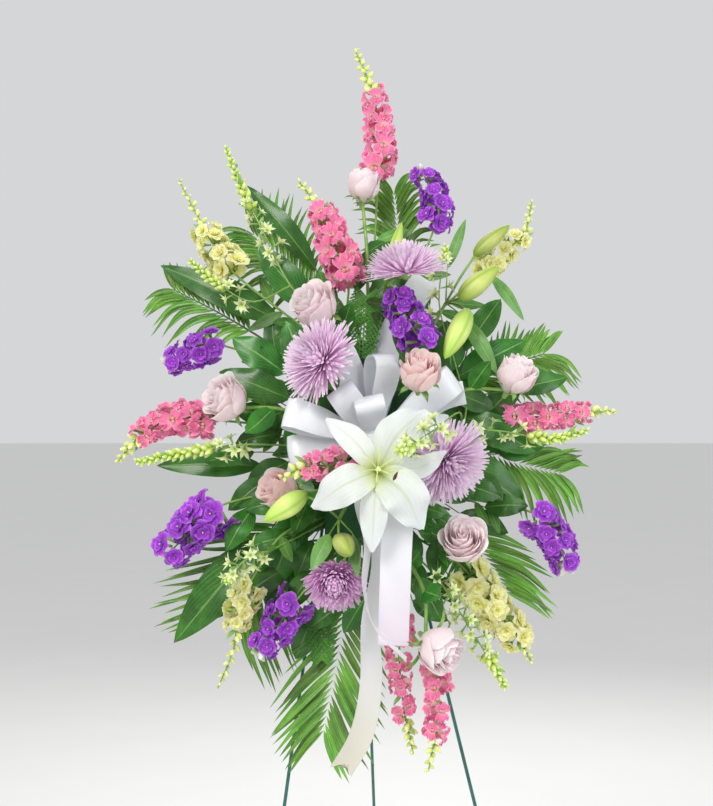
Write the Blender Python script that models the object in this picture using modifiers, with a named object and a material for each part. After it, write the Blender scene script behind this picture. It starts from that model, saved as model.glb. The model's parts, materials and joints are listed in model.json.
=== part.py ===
"""A standing funeral spray: cut flowers and foliage in a foam cage on a folding wire easel.

Units are metres, +Z is up and the front faces -Y. The easel leans back, and the flowers are
set out in its leaning plane. Every place in the tables is (across, up, out) in centimetres:
across and up are what a viewer at EYE sees on the upright plane through the origin, from the
point VIEW_HEIGHT above the floor, and out is the distance in front of the easel's wires.
Every stem stands in a plain hole of its own in the foam.
"""

import math
import random

import bmesh
import bpy
from mathutils import Vector
from mathutils.bvhtree import BVHTree

CM = 0.01
GAP = 0.0003

# The viewing place that the front view is drawn from.
VIEW_HEIGHT = 1.11
EYE = Vector((0.0, -2.30, VIEW_HEIGHT))

# The leaning plane of the easel's front legs.
LEAN = math.radians(12.0)
FRONT_FEET_Y = -0.2136
FORWARD = Vector((0.0, -math.cos(LEAN), math.sin(LEAN)))
UPWARD = Vector((0.0, math.sin(LEAN), math.cos(LEAN)))
RIGHT = Vector((1.0, 0.0, 0.0))

# Wire of the easel.
WIRE = 0.0025
THIN_WIRE = 0.0020
APEX_HEIGHT = 1.235
APEX_X = -0.005
LEFT_FOOT_X = -0.175
RIGHT_FOOT_X = 0.300
BACK_FOOT = (0.045, 0.365)
HINGE_X = 0.002
HINGE_HEIGHT = 1.150
UPPER_CROSS_HEIGHT = 1.170
LOWER_CROSS_HEIGHT = 0.905
WIRE_SEAT = WIRE + THIN_WIRE + GAP
ANKLE = 0.020
HEEL = 0.0145

# Foam block and its cage, in the leaning plane.
FOAM_WIDTH = 0.125
FOAM_LENGTH = 0.285
TRAY_WALL = 0.002
TRAY_RIM = 0.012
TRAY_BACK = WIRE + 2.0 * THIN_WIRE + 2.0 * GAP
FOAM_BACK = TRAY_BACK + TRAY_WALL + GAP
FOAM_FRONT = 0.100
FOAM_X = 0.018
FOAM_UP = 1.062
HOOK_X = -0.0014
HOOK_WIDTH = 0.016
HOOK_DEPTH = 0.004
HOOK_LIP = 0.002
STEM_HOLE_DEPTH = 0.026
STEM_STRAIGHT = 0.012

GOLDEN_TURN = 2.39996
BLADE = 0.0008
FROND_START = 0.12
HEAD_FULLNESS = (1.0, 0.94, 0.88, 0.82, 0.76, 0.70, 0.64)
HEAD_CALM = 2.5
FROND_RIB = 0.0022
LEAF_STALK = 0.0024
PALM_DROOP = 0.25
FERN_DROOP = 0.15
RIBBON_WIDTH = 0.042
RIBBON_THICKNESS = 0.0009


def plane_point(x, up, out):
    """The point at x, at a height along the leaning plane, and out in front of it, in metres."""
    foot = Vector((x, FRONT_FEET_Y, 0.0))
    return foot + UPWARD * up + FORWARD * out


def spot(across, up, out):
    """The point that the viewer sees at (across, up), out centimetres in front of the easel."""
    seen = Vector((across * CM, 0.0, VIEW_HEIGHT + up * CM))
    ray = seen - EYE
    start = plane_point(0.0, 0.0, out * CM)
    reach = FORWARD.dot(start - EYE) / FORWARD.dot(ray)
    return EYE + ray * reach


def spots(rows):
    return [spot(*row) for row in rows]


def smooth(points, steps):
    """Points along a smooth curve through the given ones, steps to each span."""
    if len(points) < 3 or steps < 2:
        return list(points)
    ends = [points[0] * 2 - points[1]] + list(points) + [points[-1] * 2 - points[-2]]
    found = []
    for i in range(1, len(ends) - 2):
        before, a, b, after = ends[i - 1 : i + 3]
        for step in range(steps):
            t = step / steps
            found.append(
                0.5
                * (
                    2 * a
                    + (b - before) * t
                    + (2 * before - 5 * a + 4 * b - after) * t * t
                    + (3 * a - before - 3 * b + after) * t * t * t
                )
            )
    found.append(points[-1].copy())
    return found


def along(points, share):
    """The point and the direction at a share of the way along the points."""
    lengths = [(b - a).length for a, b in zip(points, points[1:])]
    left = max(0.0, min(1.0, share)) * sum(lengths)
    for i, length in enumerate(lengths):
        if left <= length or i == len(lengths) - 1:
            direction = (points[i + 1] - points[i]).normalized()
            return points[i] + direction * left, direction
        left -= length


def frame_on(axis, turn=0.0):
    """Two directions square to the axis, turned round it."""
    side = axis.cross(Vector((0.13, 0.31, 0.94)))
    if side.length < 0.2:
        side = axis.cross(Vector((1.0, 0.2, 0.0)))
    side.normalize()
    other = axis.cross(side).normalized()
    return (
        side * math.cos(turn) + other * math.sin(turn),
        other * math.cos(turn) - side * math.sin(turn),
    )


def clear_scene():
    for thing in list(bpy.data.objects):
        bpy.data.objects.remove(thing, do_unlink=True)


def collection_named(name):
    found = bpy.data.collections.new(name)
    bpy.context.scene.collection.children.link(found)
    return found


def material(name, colour, roughness, metallic=0.0):
    made = bpy.data.materials.new(name)
    made.use_nodes = True
    shader = made.node_tree.nodes["Principled BSDF"]
    shader.inputs["Base Color"].default_value = (*colour, 1.0)
    shader.inputs["Roughness"].default_value = roughness
    shader.inputs["Metallic"].default_value = metallic
    return made


def new_object(name, mesh, collection):
    made = bpy.data.objects.new(name, mesh)
    collection.objects.link(made)
    return made


def evaluated_mesh(thing):
    graph = bpy.context.evaluated_depsgraph_get()
    graph.update()
    return bpy.data.meshes.new_from_object(thing.evaluated_get(graph))


def remove_object(thing):
    data = thing.data
    is_curve = thing.type == "CURVE"
    bpy.data.objects.remove(thing, do_unlink=True)
    if data.users:
        return
    if is_curve:
        bpy.data.curves.remove(data)
    else:
        bpy.data.meshes.remove(data)


def tube(points, radius, tip=None, resolution=0, closed=False):
    """A mesh object of a round rod along the points, tapering to the tip's radius."""
    data = bpy.data.curves.new("rod", "CURVE")
    data.dimensions = "3D"
    data.bevel_depth = radius
    data.bevel_resolution = resolution
    data.use_fill_caps = not closed
    line = data.splines.new("POLY")
    line.points.add(len(points) - 1)
    line.use_cyclic_u = closed
    tip = radius if tip is None else tip
    for i, point in enumerate(points):
        line.points[i].co = (*point, 1.0)
        share = i / (len(points) - 1)
        line.points[i].radius = 1.0 + (tip / radius - 1.0) * share
    rod = new_object("rod", data, workshop)
    mesh = evaluated_mesh(rod)
    matrix = rod.matrix_world.copy()
    remove_object(rod)
    shape = bmesh.new()
    shape.from_mesh(mesh)
    bmesh.ops.remove_doubles(shape, verts=shape.verts, dist=0.00001)
    bmesh.ops.recalc_face_normals(shape, faces=shape.faces)
    shape.to_mesh(mesh)
    shape.free()
    made = new_object("rod", mesh, workshop)
    made.matrix_world = matrix
    return made


def finish_shape(shape, name="bit"):
    """The bmesh as an object in the workshop, its faces pointing out."""
    bmesh.ops.recalc_face_normals(shape, faces=shape.faces)
    mesh = bpy.data.meshes.new(name)
    shape.to_mesh(mesh)
    shape.free()
    return new_object(name, mesh, workshop)


def ball(rings, sides, place):
    """A sphere of unit size whose points place() moves."""
    shape = bmesh.new()
    bmesh.ops.create_uvsphere(shape, u_segments=sides, v_segments=rings, radius=1.0)
    for vert in shape.verts:
        vert.co = place(vert.co.copy())
    bmesh.ops.triangulate(shape, faces=shape.faces)
    return finish_shape(shape)


def sheet(columns, rows, place, thickness=BLADE):
    """A thin blade: a grid with place(u, v) for u in -1..1 and v in 0..1, made solid."""
    shape = bmesh.new()
    bmesh.ops.create_grid(shape, x_segments=columns, y_segments=rows, size=1.0)
    for vert in shape.verts:
        vert.co = place(vert.co.x, 0.5 + 0.5 * vert.co.y)
    bmesh.ops.remove_doubles(shape, verts=shape.verts, dist=0.0001)
    bmesh.ops.triangulate(shape, faces=shape.faces)
    made = finish_shape(shape)
    thicken(made, thickness)
    return made


def thicken(thing, thickness):
    solid = thing.modifiers.new("thickness", "SOLIDIFY")
    solid.thickness = thickness
    solid.offset = 0.0


def fuse(name, pieces, finish):
    """One closed body from overlapping pieces, with loose scraps and sealed hollows dropped."""
    base = pieces[0]
    for modifier_owner in pieces:
        modifier_owner.data.materials.clear()
    bits = bpy.data.collections.new(name + "_bits")
    bpy.context.scene.collection.children.link(bits)
    for piece in pieces[1:]:
        workshop.objects.unlink(piece)
        bits.objects.link(piece)
    if len(pieces) > 1:
        union = base.modifiers.new("fused", "BOOLEAN")
        union.operation = "UNION"
        union.operand_type = "COLLECTION"
        union.collection = bits
        union.solver = "MANIFOLD"
    mesh = evaluated_mesh(base)
    for piece in list(bits.objects) + [base]:
        remove_object(piece)
    bpy.data.collections.remove(bits)
    keep_main_body(mesh)
    mesh.name = name
    mesh.materials.clear()
    mesh.materials.append(finish)
    return new_object(name, mesh, spray)


def keep_main_body(mesh):
    """Leaves the largest connected body of the mesh."""
    shape = bmesh.new()
    shape.from_mesh(mesh)
    bmesh.ops.remove_doubles(shape, verts=shape.verts, dist=0.000002)
    left = set(shape.verts)
    bodies = []
    while left:
        reached = [left.pop()]
        body = set(reached)
        while reached:
            vert = reached.pop()
            for edge in vert.link_edges:
                other = edge.other_vert(vert)
                if other in left:
                    left.discard(other)
                    body.add(other)
                    reached.append(other)
        bodies.append(body)
    bodies.sort(key=len)
    for body in bodies[:-1]:
        bmesh.ops.delete(shape, geom=list(body), context="VERTS")
    shape.to_mesh(mesh)
    shape.free()


# Shapes of petals, florets, buds and leaves.


def spindle(start, end, width, bend=Vector((0, 0, 0)), rings=2, sides=3, flat=1.0, turn=0.0):
    """A slim pointed body from start to end, thickest in the middle, bowed by bend."""
    axis = end - start
    length = axis.length
    axis.normalize()
    side, other = frame_on(axis, turn)

    def place(point):
        share = 0.5 + 0.5 * point.z
        bow = bend * math.sin(math.pi * share)
        return (
            start
            + axis * (length * share)
            + side * (point.x * width)
            + other * (point.y * width * flat)
            + bow
        )

    return ball(rings, sides, place)


def star(centre, axis, radius, back, front, lobes=5, notch=0.45, cup=0.0, turn=0.0, jitter=None):
    """A floret: lobes round a centre, with a throat behind and a raised middle in front."""
    side, other = frame_on(axis, turn)

    def place(point):
        if point.z > 0.9:
            return centre + axis * front
        if point.z < -0.9:
            return centre - axis * back
        angle = math.atan2(point.y, point.x)
        outer = round(angle / (math.pi / lobes)) % 2 == 0
        reach = radius * (1.0 if outer else notch)
        if jitter and outer:
            reach *= jitter.uniform(0.85, 1.12)
        lift = radius * cup if outer else 0.0
        return (
            centre
            + side * (math.cos(angle) * reach)
            + other * (math.sin(angle) * reach)
            + axis * lift
        )

    return ball(2, 2 * lobes, place)


def leaf(points, width, facing, rows=4, fold=0.18, widest=0.42, wave=0.0, blunt=0.0, stalk=0.0):
    """A pointed blade along the points, creased along its midrib, after a stalk of that share."""
    path = smooth(points, 3)

    def place(u, v):
        row = round(v * rows)
        if stalk and row < 2:
            share = stalk * row
            spread = LEAF_STALK / width
        else:
            share = v if not stalk else stalk + (1.0 - stalk) * (row - 1) / (rows - 1)
            grown = (share - stalk) / (1.0 - stalk)
            if grown < widest:
                swell = math.sin(0.5 * math.pi * grown / widest)
            else:
                swell = math.cos(0.5 * math.pi * (grown - widest) / (1.0 - widest))
            spread = max(max(0.0, swell) ** (0.85 - blunt), LEAF_STALK / width)
        here, heading = along(path, share)
        across = heading.cross(facing).normalized()
        front = across.cross(heading).normalized()
        half = 0.5 * width * spread
        ripple = wave * width * math.sin(2.2 * math.pi * v * rows / 3.0 + 1.6 * u)
        return here + across * (u * half) + front * (abs(u) * (fold * half + ripple) * spread)

    return sheet(2, rows, place)


def comb(points, reach, facing, count, droop=0.25, sweep=0.75, bent=False):
    """A frond: one thin blade along a rib, cut to the rib into leaflets on both sides."""
    path = smooth(points, 4)
    shape = bmesh.new()
    edges = {-1: [], 1: []}
    frames = []
    for i in range(count + 1):
        here, heading = along(path, FROND_START + (1.0 - FROND_START) * i / count)
        across = heading.cross(facing).normalized()
        front = across.cross(heading).normalized()
        half = FROND_RIB * (1.0 - 0.6 * i / count)
        frames.append((here, heading, across, front))
        for hand in (-1, 1):
            edges[hand].append(shape.verts.new(here + across * (hand * half)))
    for i in range(count):
        quad = (edges[-1][i], edges[-1][i + 1], edges[1][i + 1], edges[1][i])
        shape.faces.new(quad[:3])
        shape.faces.new((quad[0], quad[2], quad[3]))
    for i in range(count):
        here, heading, across, front = frames[i]
        share = (i + 0.5) / count
        length = reach * (math.sin(math.pi * (0.18 + 0.66 * share)) ** 0.7)
        for hand in (-1, 1):
            out = (across * hand + heading * (sweep + 0.75 * share)).normalized()
            a = edges[hand][i]
            b = edges[hand][i + 1]
            middle = 0.5 * (a.co + b.co)
            tip = shape.verts.new(middle + out * length - front * (droop * length))
            if not bent:
                shape.faces.new((a, b, tip))
                continue
            half_way = 0.5 * length
            knee = middle + out * half_way - front * (0.25 * droop * half_way)
            wide = 0.42 * (b.co - a.co)
            low = shape.verts.new(knee - wide)
            high = shape.verts.new(knee + wide)
            shape.faces.new((a, b, high))
            shape.faces.new((a, high, low))
            shape.faces.new((low, high, tip))
    made = finish_shape(shape, "frond")
    thicken(made, BLADE)
    return made


# Stems, which all start in the foam.

stem_holes = []


def foam_heart(target, share):
    """The place inside the foam that a stem points away from."""
    height = FOAM_UP + share * (plane_height(target) - FOAM_UP)
    half = 0.36 * FOAM_LENGTH
    height = max(FOAM_UP - half, min(FOAM_UP + half, height))
    return plane_point(FOAM_X, height, 0.5 * (FOAM_BACK + FOAM_FRONT) - 0.012)


def plane_height(point):
    return (point - Vector((0.0, FRONT_FEET_Y, 0.0))).dot(UPWARD)


def foam_exit(heart, direction):
    """How far the direction runs from the heart to the foam's surface."""
    centre = plane_point(FOAM_X, FOAM_UP, 0.5 * (FOAM_BACK + FOAM_FRONT))
    halves = (0.5 * FOAM_WIDTH, 0.5 * FOAM_LENGTH, 0.5 * (FOAM_FRONT - FOAM_BACK))
    reaches = []
    for axis, half in zip((RIGHT, UPWARD, FORWARD), halves):
        speed = direction.dot(axis)
        offset = (heart - centre).dot(axis)
        if abs(speed) > 0.001:
            reaches.append((math.copysign(half, speed) - offset) / speed)
    return min(reaches)


def stem_to(name, target, radius, share=0.55):
    """Points of a stem from its own hole in the foam to the target, past its via places."""
    via = spots(STEM_VIAS.get(name, ()))
    first = via[0] if via else target
    shift = STEM_SHIFTS.get(name, (0.0, 0.0, 0.0))
    start = foam_heart(first, share) + RIGHT * (shift[0] * CM)
    start += UPWARD * (shift[1] * CM) + FORWARD * (shift[2] * CM)
    direction = (first - start).normalized()
    leaving = start + direction * foam_exit(start, direction)
    bottom = leaving - direction * (STEM_HOLE_DEPTH / max(0.45, most_square(direction)))
    beyond = leaving + direction * STEM_STRAIGHT
    stem_holes.append((bottom - direction * GAP, beyond, radius))
    return [bottom, beyond] + via + [target]


def most_square(direction):
    """How squarely the direction leaves the face of the foam that it is nearest to."""
    return max(abs(direction.dot(axis)) for axis in (RIGHT, UPWARD, FORWARD))


# Kinds of flower.


def cup(base, mouth, side, other, width, height, lobes, floor, roll):
    """A ring of petals as one cup with a lobed rim and a hollow mouth."""
    rings = {
        -2: (0.52, 0.10, 0.50, 0.12),
        -1: (0.96, 0.52, 0.90, 0.50),
        1: (1.0 + roll, 1.00, 0.80, 0.78),
        2: (0.70, 0.80, 0.62, 0.66),
    }

    def place(point):
        if abs(point.z) > 0.95:
            return base + mouth * (height * floor if point.z > 0 else 0.0)
        number = int(math.copysign(2 if abs(point.z) > 0.5 else 1, point.z))
        angle = math.atan2(point.y, point.x)
        on_petal = round(angle / (math.pi / lobes)) % 2 == 0
        row = rings[number]
        away, rise = row[:2] if on_petal else row[2:]
        outward = side * math.cos(angle) + other * math.sin(angle)
        return base + outward * (width * away) + mouth * (height * rise)

    return ball(5, 2 * lobes, place)


def rose(name, centre, mouth, size, finish, seed):
    """A half open rose on its stem: two lobed rings of petals round a rolled heart."""
    draw = random.Random(seed)
    mouth = mouth.normalized()
    base = centre - mouth * (0.85 * size)
    height = 1.75 * size
    stem = stem_to(name, base + mouth * (0.1 * size), 0.0026)
    pieces = [tube(stem, 0.0026)]
    side, other = frame_on(mouth, draw.uniform(0, 6.0))
    pieces.append(cup(base, mouth, side, other, 0.90 * size, 0.92 * height, 5, 0.34, 0.10))
    side, other = frame_on(mouth, draw.uniform(0, 6.0))
    inner = base + mouth * (0.10 * height)
    pieces.append(cup(inner, mouth, side, other, 0.60 * size, 0.90 * height, 3, 0.40, 0.0))

    def core(point):
        spread = 0.32 * size * (1.0 - 0.25 * max(point.z, 0.0))
        lift = height * (0.56 + 0.42 * point.z)
        return base + side * (point.x * spread) + other * (point.y * spread) + mouth * lift

    pieces.append(ball(3, 5, core))
    calyx_end = base + mouth * (0.25 * height)
    pieces.append(spindle(base - mouth * 0.008, calyx_end, 0.30 * size, sides=4))
    for i in range(3):
        turn = i * 2.1 + draw.uniform(0, 0.5)
        away = (side * math.cos(turn) + other * math.sin(turn)).normalized()
        tip = base + away * (0.95 * size) - mouth * (0.30 * size * draw.uniform(0.2, 1.2))
        pieces.append(spindle(base, tip, 0.0030))
    return fuse(name, pieces, finish)


def spider_mum(name, centre, mouth, size, finish, seed, brim):
    """A spider chrysanthemum: long thin petals drawn out of a small head, on its stem."""
    draw = random.Random(seed)
    mouth = mouth.normalized()
    stem = stem_to(name, centre - mouth * 0.004, 0.0025)
    shape = bmesh.new()
    bmesh.ops.create_icosphere(shape, subdivisions=2, radius=0.38 * size)
    turn = frame_on(mouth, draw.uniform(0, 6.0))
    for vert in shape.verts:
        vert.co = turn[0] * vert.co.x + turn[1] * vert.co.y + mouth * vert.co.z
    for face in list(shape.faces):
        away = face.calc_center_median().normalized()
        front = away.dot(mouth)
        if front < brim:
            continue
        reach = size * (0.86 + 0.22 * (1.0 - abs(front))) * draw.uniform(0.90, 1.06)
        tip = bmesh.ops.poke(shape, faces=[face])["verts"][0]
        tip.co = away * reach + mouth * (0.05 * size)
    for vert in shape.verts:
        vert.co += centre
    return fuse(name, [tube(stem, 0.0025), finish_shape(shape)], finish)


def spike(name, path, radius, florets, buds, around, finish, seed, more=()):
    """A flower spike on its stem, with florets below and buds that shrink towards its tip.

    florets holds (start, end, rings, reach) and buds holds (rings, width). more holds
    branches: (path, florets, buds).
    """
    draw = random.Random(seed)
    line = smooth(path, 4)
    stem = stem_to(name, path[0], radius, 0.5)
    pieces = [tube(stem[:-1] + part_of(path, florets[0] + 0.14), radius)]
    pieces.append(flower_head(line, florets, buds, around, draw))
    for branch_path, branch_florets, branch_buds in more:
        line = smooth(branch_path, 4)
        pieces.append(tube(part_of(branch_path, branch_florets[0] + 0.14), radius))
        pieces.append(flower_head(line, branch_florets, branch_buds, around, draw))
    return fuse(name, pieces, finish)


def flower_head(line, florets, buds, around, draw):
    """The fullest of several heads round the line whose faces don't cross."""
    state = draw.getstate()
    for fullness in HEAD_FULLNESS:
        draw.setstate(state)
        shape = head_surface(line, florets, buds, around, draw, fullness)
        if not faces_cross(shape):
            break
    return finish_shape(shape)


def faces_cross(shape):
    """Whether two faces that share no corner meet."""
    tree = BVHTree.FromBMesh(shape)
    shape.faces.ensure_lookup_table()
    for first, second in tree.overlap(tree):
        if first < second and not set(shape.faces[first].verts) & set(shape.faces[second].verts):
            return True
    return False


def head_surface(line, florets, buds, around, draw, fullness):
    """One closed surface round the line, with a floret or a bud raised from each diamond of it."""
    start, end, floret_rings, reach = florets
    bud_rings, width = buds
    rings = []
    for i in range(floret_rings):
        size = reach * (1.0 - 0.30 * i / max(1, floret_rings))
        rings.append((start + (end - start) * (i + 0.6) / floret_rings, 0.20 * size, size, True))
    for i in range(bud_rings):
        size = width * (1.0 - 0.55 * i / bud_rings)
        rings.append((end + (1.0 - end) * (i + 0.7) / bud_rings, 0.42 * size, size, False))
    spin = draw.uniform(0.0, 6.0)
    shape = bmesh.new()
    shares = [start] + [ring[0] for ring in rings] + [1.0]
    corners = [[shape.verts.new(along(line, start)[0])] * around]
    for i, (share, core, size, open_floret) in enumerate(rings):
        turns = [spin + 2.0 * math.pi * (j + 0.5 * (i % 2)) / around for j in range(around)]
        corners.append([shape.verts.new(beside(line, share, turn, core)) for turn in turns])
    corners.append([shape.verts.new(along(line, 1.0)[0])] * around)
    for i, (share, core, size, open_floret) in enumerate(rings):
        for j in range(around):
            after = (j + 1) % around
            level = j if i % 2 == 0 else after
            ends = (
                corners[i][level],
                corners[i + 1][after],
                corners[i + 2][level],
                corners[i + 1][j],
            )
            turn = spin + 2.0 * math.pi * (j + 0.5 + 0.5 * (i % 2)) / around
            if open_floret:
                levels = (shares[i], share, shares[i + 2])
                half = fullness * math.pi / around
                raise_floret(shape, line, ends, levels, turn, half, size, fullness, draw)
            else:
                height = share + 0.3 * (shares[i + 2] - share)
                tip = beside(line, height, turn, size * draw.uniform(0.9, 1.2))
                close_fan(shape, ends, tip)
    return shape


def beside(line, share, turn, radius):
    """The point beside the line, turned round it, at a distance."""
    here, heading = along(line, share)
    heading = (heading + HEAD_CALM * (line[-1] - line[0]).normalized()).normalized()
    side, other = frame_on(heading)
    return here + (side * math.cos(turn) + other * math.sin(turn)) * radius


def raise_floret(shape, line, ends, levels, turn, half, size, fullness, draw):
    """A floret that flares from its diamond to four ruffled petals round a sunk middle."""
    low, level, high = levels
    size *= draw.uniform(0.84, 1.10)
    below = fullness * (low - level)
    above = fullness * (high - level)
    rim_places = (
        (level + below * draw.uniform(0.56, 0.78), turn, 1.04),
        (level, turn + half * draw.uniform(0.60, 0.82), 0.98),
        (level + above * draw.uniform(0.56, 0.78), turn, 0.96),
        (level, turn - half * draw.uniform(0.60, 0.82), 0.98),
    )
    rim = []
    for share, angle, away in rim_places:
        reach = size * away * draw.uniform(0.86, 1.06)
        rim.append(shape.verts.new(beside(line, share, angle, reach)))
    for k in range(4):
        after = (k + 1) % 4
        shape.faces.new((ends[k], ends[after], rim[after]))
        shape.faces.new((ends[k], rim[after], rim[k]))
    close_fan(shape, rim, beside(line, level, turn, 0.66 * size))


def close_fan(shape, ends, tip):
    """Faces from the four ends to a tip, leaving out a side of no length at a pole."""
    top = shape.verts.new(tip)
    for k in range(4):
        shape.faces.new((ends[k], ends[(k + 1) % 4], top))


def part_of(points, share):
    """The first share of the points' way."""
    lengths = [(b - a).length for a, b in zip(points, points[1:])]
    left = min(1.0, share) * sum(lengths)
    kept = [points[0]]
    for i, length in enumerate(lengths):
        if left <= length:
            kept.append(points[i] + (points[i + 1] - points[i]) * (left / length))
            break
        kept.append(points[i + 1])
        left -= length
    return kept


def starry(name, path, radius, stars, buds, finish, seed, more=()):
    """A slim spike of loose stars with a knobbly tip of buds, and its side spikes.

    stars holds (count, start, end, radius, length, lobes, notch, cup) and buds holds
    (start, width, rings). more holds branches: (path, stars, buds).
    """
    draw = random.Random(seed)
    stem = stem_to(name, path[0], radius, 0.5)
    pieces = [tube(stem[:-1] + part_of(path, buds[0] + 0.06), radius, tip=0.6 * radius)]
    pieces += star_bits(path, stars, buds, draw)
    for branch_path, branch_stars, branch_buds in more:
        rod = part_of(branch_path, branch_buds[0] + 0.06)
        pieces.append(tube(rod, 0.8 * radius, tip=0.6 * radius))
        pieces += star_bits(branch_path, branch_stars, branch_buds, draw)
    return fuse(name, pieces, finish)


def star_bits(line, stars, buds, draw):
    """Stars in a spiral round the line, and a knobbly spire of buds at its tip."""
    pieces = []
    count, start, end, radius, length, lobes, notch, lift = stars
    for i in range(count):
        share = start + (end - start) * (i + 0.5) / count
        here, heading = along(line, share)
        side, other = frame_on(heading, i * GOLDEN_TURN + draw.uniform(-0.2, 0.2))
        scale = 1.0 - 0.28 * (i / count)
        axis = (side + heading * 0.25 + FORWARD * 0.35).normalized()
        reach = length * scale
        size = radius * scale
        turn = draw.uniform(0, 6)
        centre = here + axis * reach
        pieces.append(star(centre, axis, size, reach, 0.35 * size, lobes, notch, lift, turn, draw))
    start, width, knobs = buds
    if knobs:
        pieces.append(bud_spire(line, start, width, knobs))
    return pieces


def bud_spire(line, start, width, knobs):
    """The tip of a spike, with a bud standing out at every other point of its rings."""

    def place(point):
        polar = math.acos(max(-1.0, min(1.0, point.z))) / math.pi
        share = start + (1.0 - start) * (1.0 - polar)
        here, heading = along(line, share)
        if polar < 0.001 or polar > 0.999:
            return here
        side, other = frame_on(heading)
        ring = round(polar * (knobs + 1))
        corner = round(math.atan2(point.y, point.x) / (0.5 * math.pi))
        stands_out = (ring + corner) % 2 == 0
        angle = corner * 0.5 * math.pi + ring * 0.4
        outward = side * math.cos(angle) + other * math.sin(angle)
        slim = 1.0 - 0.55 * (1.0 - polar)
        if stands_out:
            return here + outward * (width * slim) + heading * (0.7 * width)
        return here + outward * (0.32 * width * slim)

    return ball(knobs + 1, 4, place)


def lily_bud(base, tip, width):
    """A long bud with three shallow grooves."""
    axis = tip - base
    length = axis.length
    axis.normalize()
    side, other = frame_on(axis)

    def place(point):
        share = 0.5 + 0.5 * point.z
        ring = math.hypot(point.x, point.y)
        angle = math.atan2(point.y, point.x)
        lobed = 1.0 + 0.10 * math.cos(3 * angle)
        fat = 0.5 * width * ring * lobed * (1.12 - 0.3 * share)
        round_way = side * math.cos(angle) + other * math.sin(angle)
        return base + axis * (length * share) + round_way * fat

    return ball(4, 6, place)


def open_lily(name, centre, finish, tepals):
    """The open lily: six tepals that arch back, with its stamens and style."""
    stem = stem_to(name, centre - FORWARD * 0.035, 0.0035)
    pieces = [tube(stem, 0.0035, tip=0.005, resolution=1)]
    pieces.append(spindle(centre - FORWARD * 0.040, centre + FORWARD * 0.004, 0.010, sides=6))
    for middle, tip, width in tepals:
        root = centre - FORWARD * 0.022
        points = [root, centre + (spot(*middle) - centre) * 0.35, spot(*middle), spot(*tip)]
        pieces.append(leaf(points, width * CM, FORWARD, rows=3, fold=0.22, widest=0.52))
    for i in range(6):
        turn = i * math.pi / 3 + 0.4
        away = RIGHT * math.cos(turn) + UPWARD * math.sin(turn)
        tip = centre + FORWARD * 0.040 + away * 0.022
        pieces.append(spindle(centre - FORWARD * 0.015, tip, 0.0016))
    style = centre + FORWARD * 0.046 - UPWARD * 0.006
    pieces.append(spindle(centre - FORWARD * 0.015, style, 0.0022))
    return fuse(name, pieces, finish)


# Ribbon.


def band(stations, widths, width=RIBBON_WIDTH):
    """A strip of ribbon through the stations, with its width direction at each."""

    def place(u, v):
        i = round(v * (len(stations) - 1))
        return stations[i] + widths[i] * (0.5 * u * width)

    return sheet(1, len(stations) - 1, place, RIBBON_THICKNESS)


def bow_loop(knot, degrees, length, opening, twist, tilt, pinch=0.3):
    """A teardrop loop from the knot, with its path and its width directions."""
    angle = math.radians(degrees)
    lean = math.radians(tilt)
    turn = math.radians(twist)
    radial = RIGHT * math.cos(angle) + UPWARD * math.sin(angle)
    heading = radial * math.cos(lean) + FORWARD * math.sin(lean)
    beside = UPWARD * math.cos(angle) - RIGHT * math.sin(angle)
    ahead = beside.cross(heading) * -1.0
    if ahead.dot(FORWARD) < 0:
        ahead.negate()
    wide = beside * math.cos(turn) + ahead * math.sin(turn)
    thick = ahead * math.cos(turn) - beside * math.sin(turn)
    knot = knot + heading * BOW_START
    stations = []
    widths = []
    count = 7
    for i in range(count + 1):
        t = i / count
        run = math.sin(math.pi * t) ** 0.75
        gape = math.sin(2 * math.pi * t) * math.sin(math.pi * t) ** 0.5
        stations.append(knot + heading * (length * CM * run) + thick * (0.5 * opening * CM * gape))
        widths.append(wide * (pinch + (1.0 - pinch) * min(1.0, 1.7 * run)))
    return stations, widths


# Places of the flowers and leaves, from the front view.

STEM_SHIFTS = {
    "rose_top": (0.0, 0.0, 1.8),
    "rose_bottom": (1.6, 0.0, 2.0),
    "palm_top": (0.0, 0.0, -1.6),
    "fern_lower": (2.4, 0.0, 0.4),
    "mum_top": (0.9, 0.0, 0.0),
    "rose_peach": (1.6, 2.0, 0.0),
}
STEM_VIAS = {
    "rose_top": ((1.6, 22.0, 9.4),),
    "rose_left": ((-12.0, -0.8, 12.6),),
    "rose_right": ((16.6, 2.0, 12.6),),
    "rose_bottom": ((10.0, -28.0, 16.0),),
    "mum_top": ((4.4, 12.6, 9.8), (4.4, 18.0, 14.8)),
    "yellow_stock_low_left": ((-11.4, -20.0, 10.8),),
    "rose_peach": ((8.6, 4.8, 13.0),),
    "lily_open": ((-1.8, -12.6, 13.5), (-1.0, -12.8, 19.5)),
    "mum_left": ((-4.8, 3.8, 13.0),),
    "snapdragon_upper_left": ((-1.8, 11.0, 7.6),),
    "snapdragon_middle": ((-0.6, -10.4, 14.5),),
}

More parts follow.
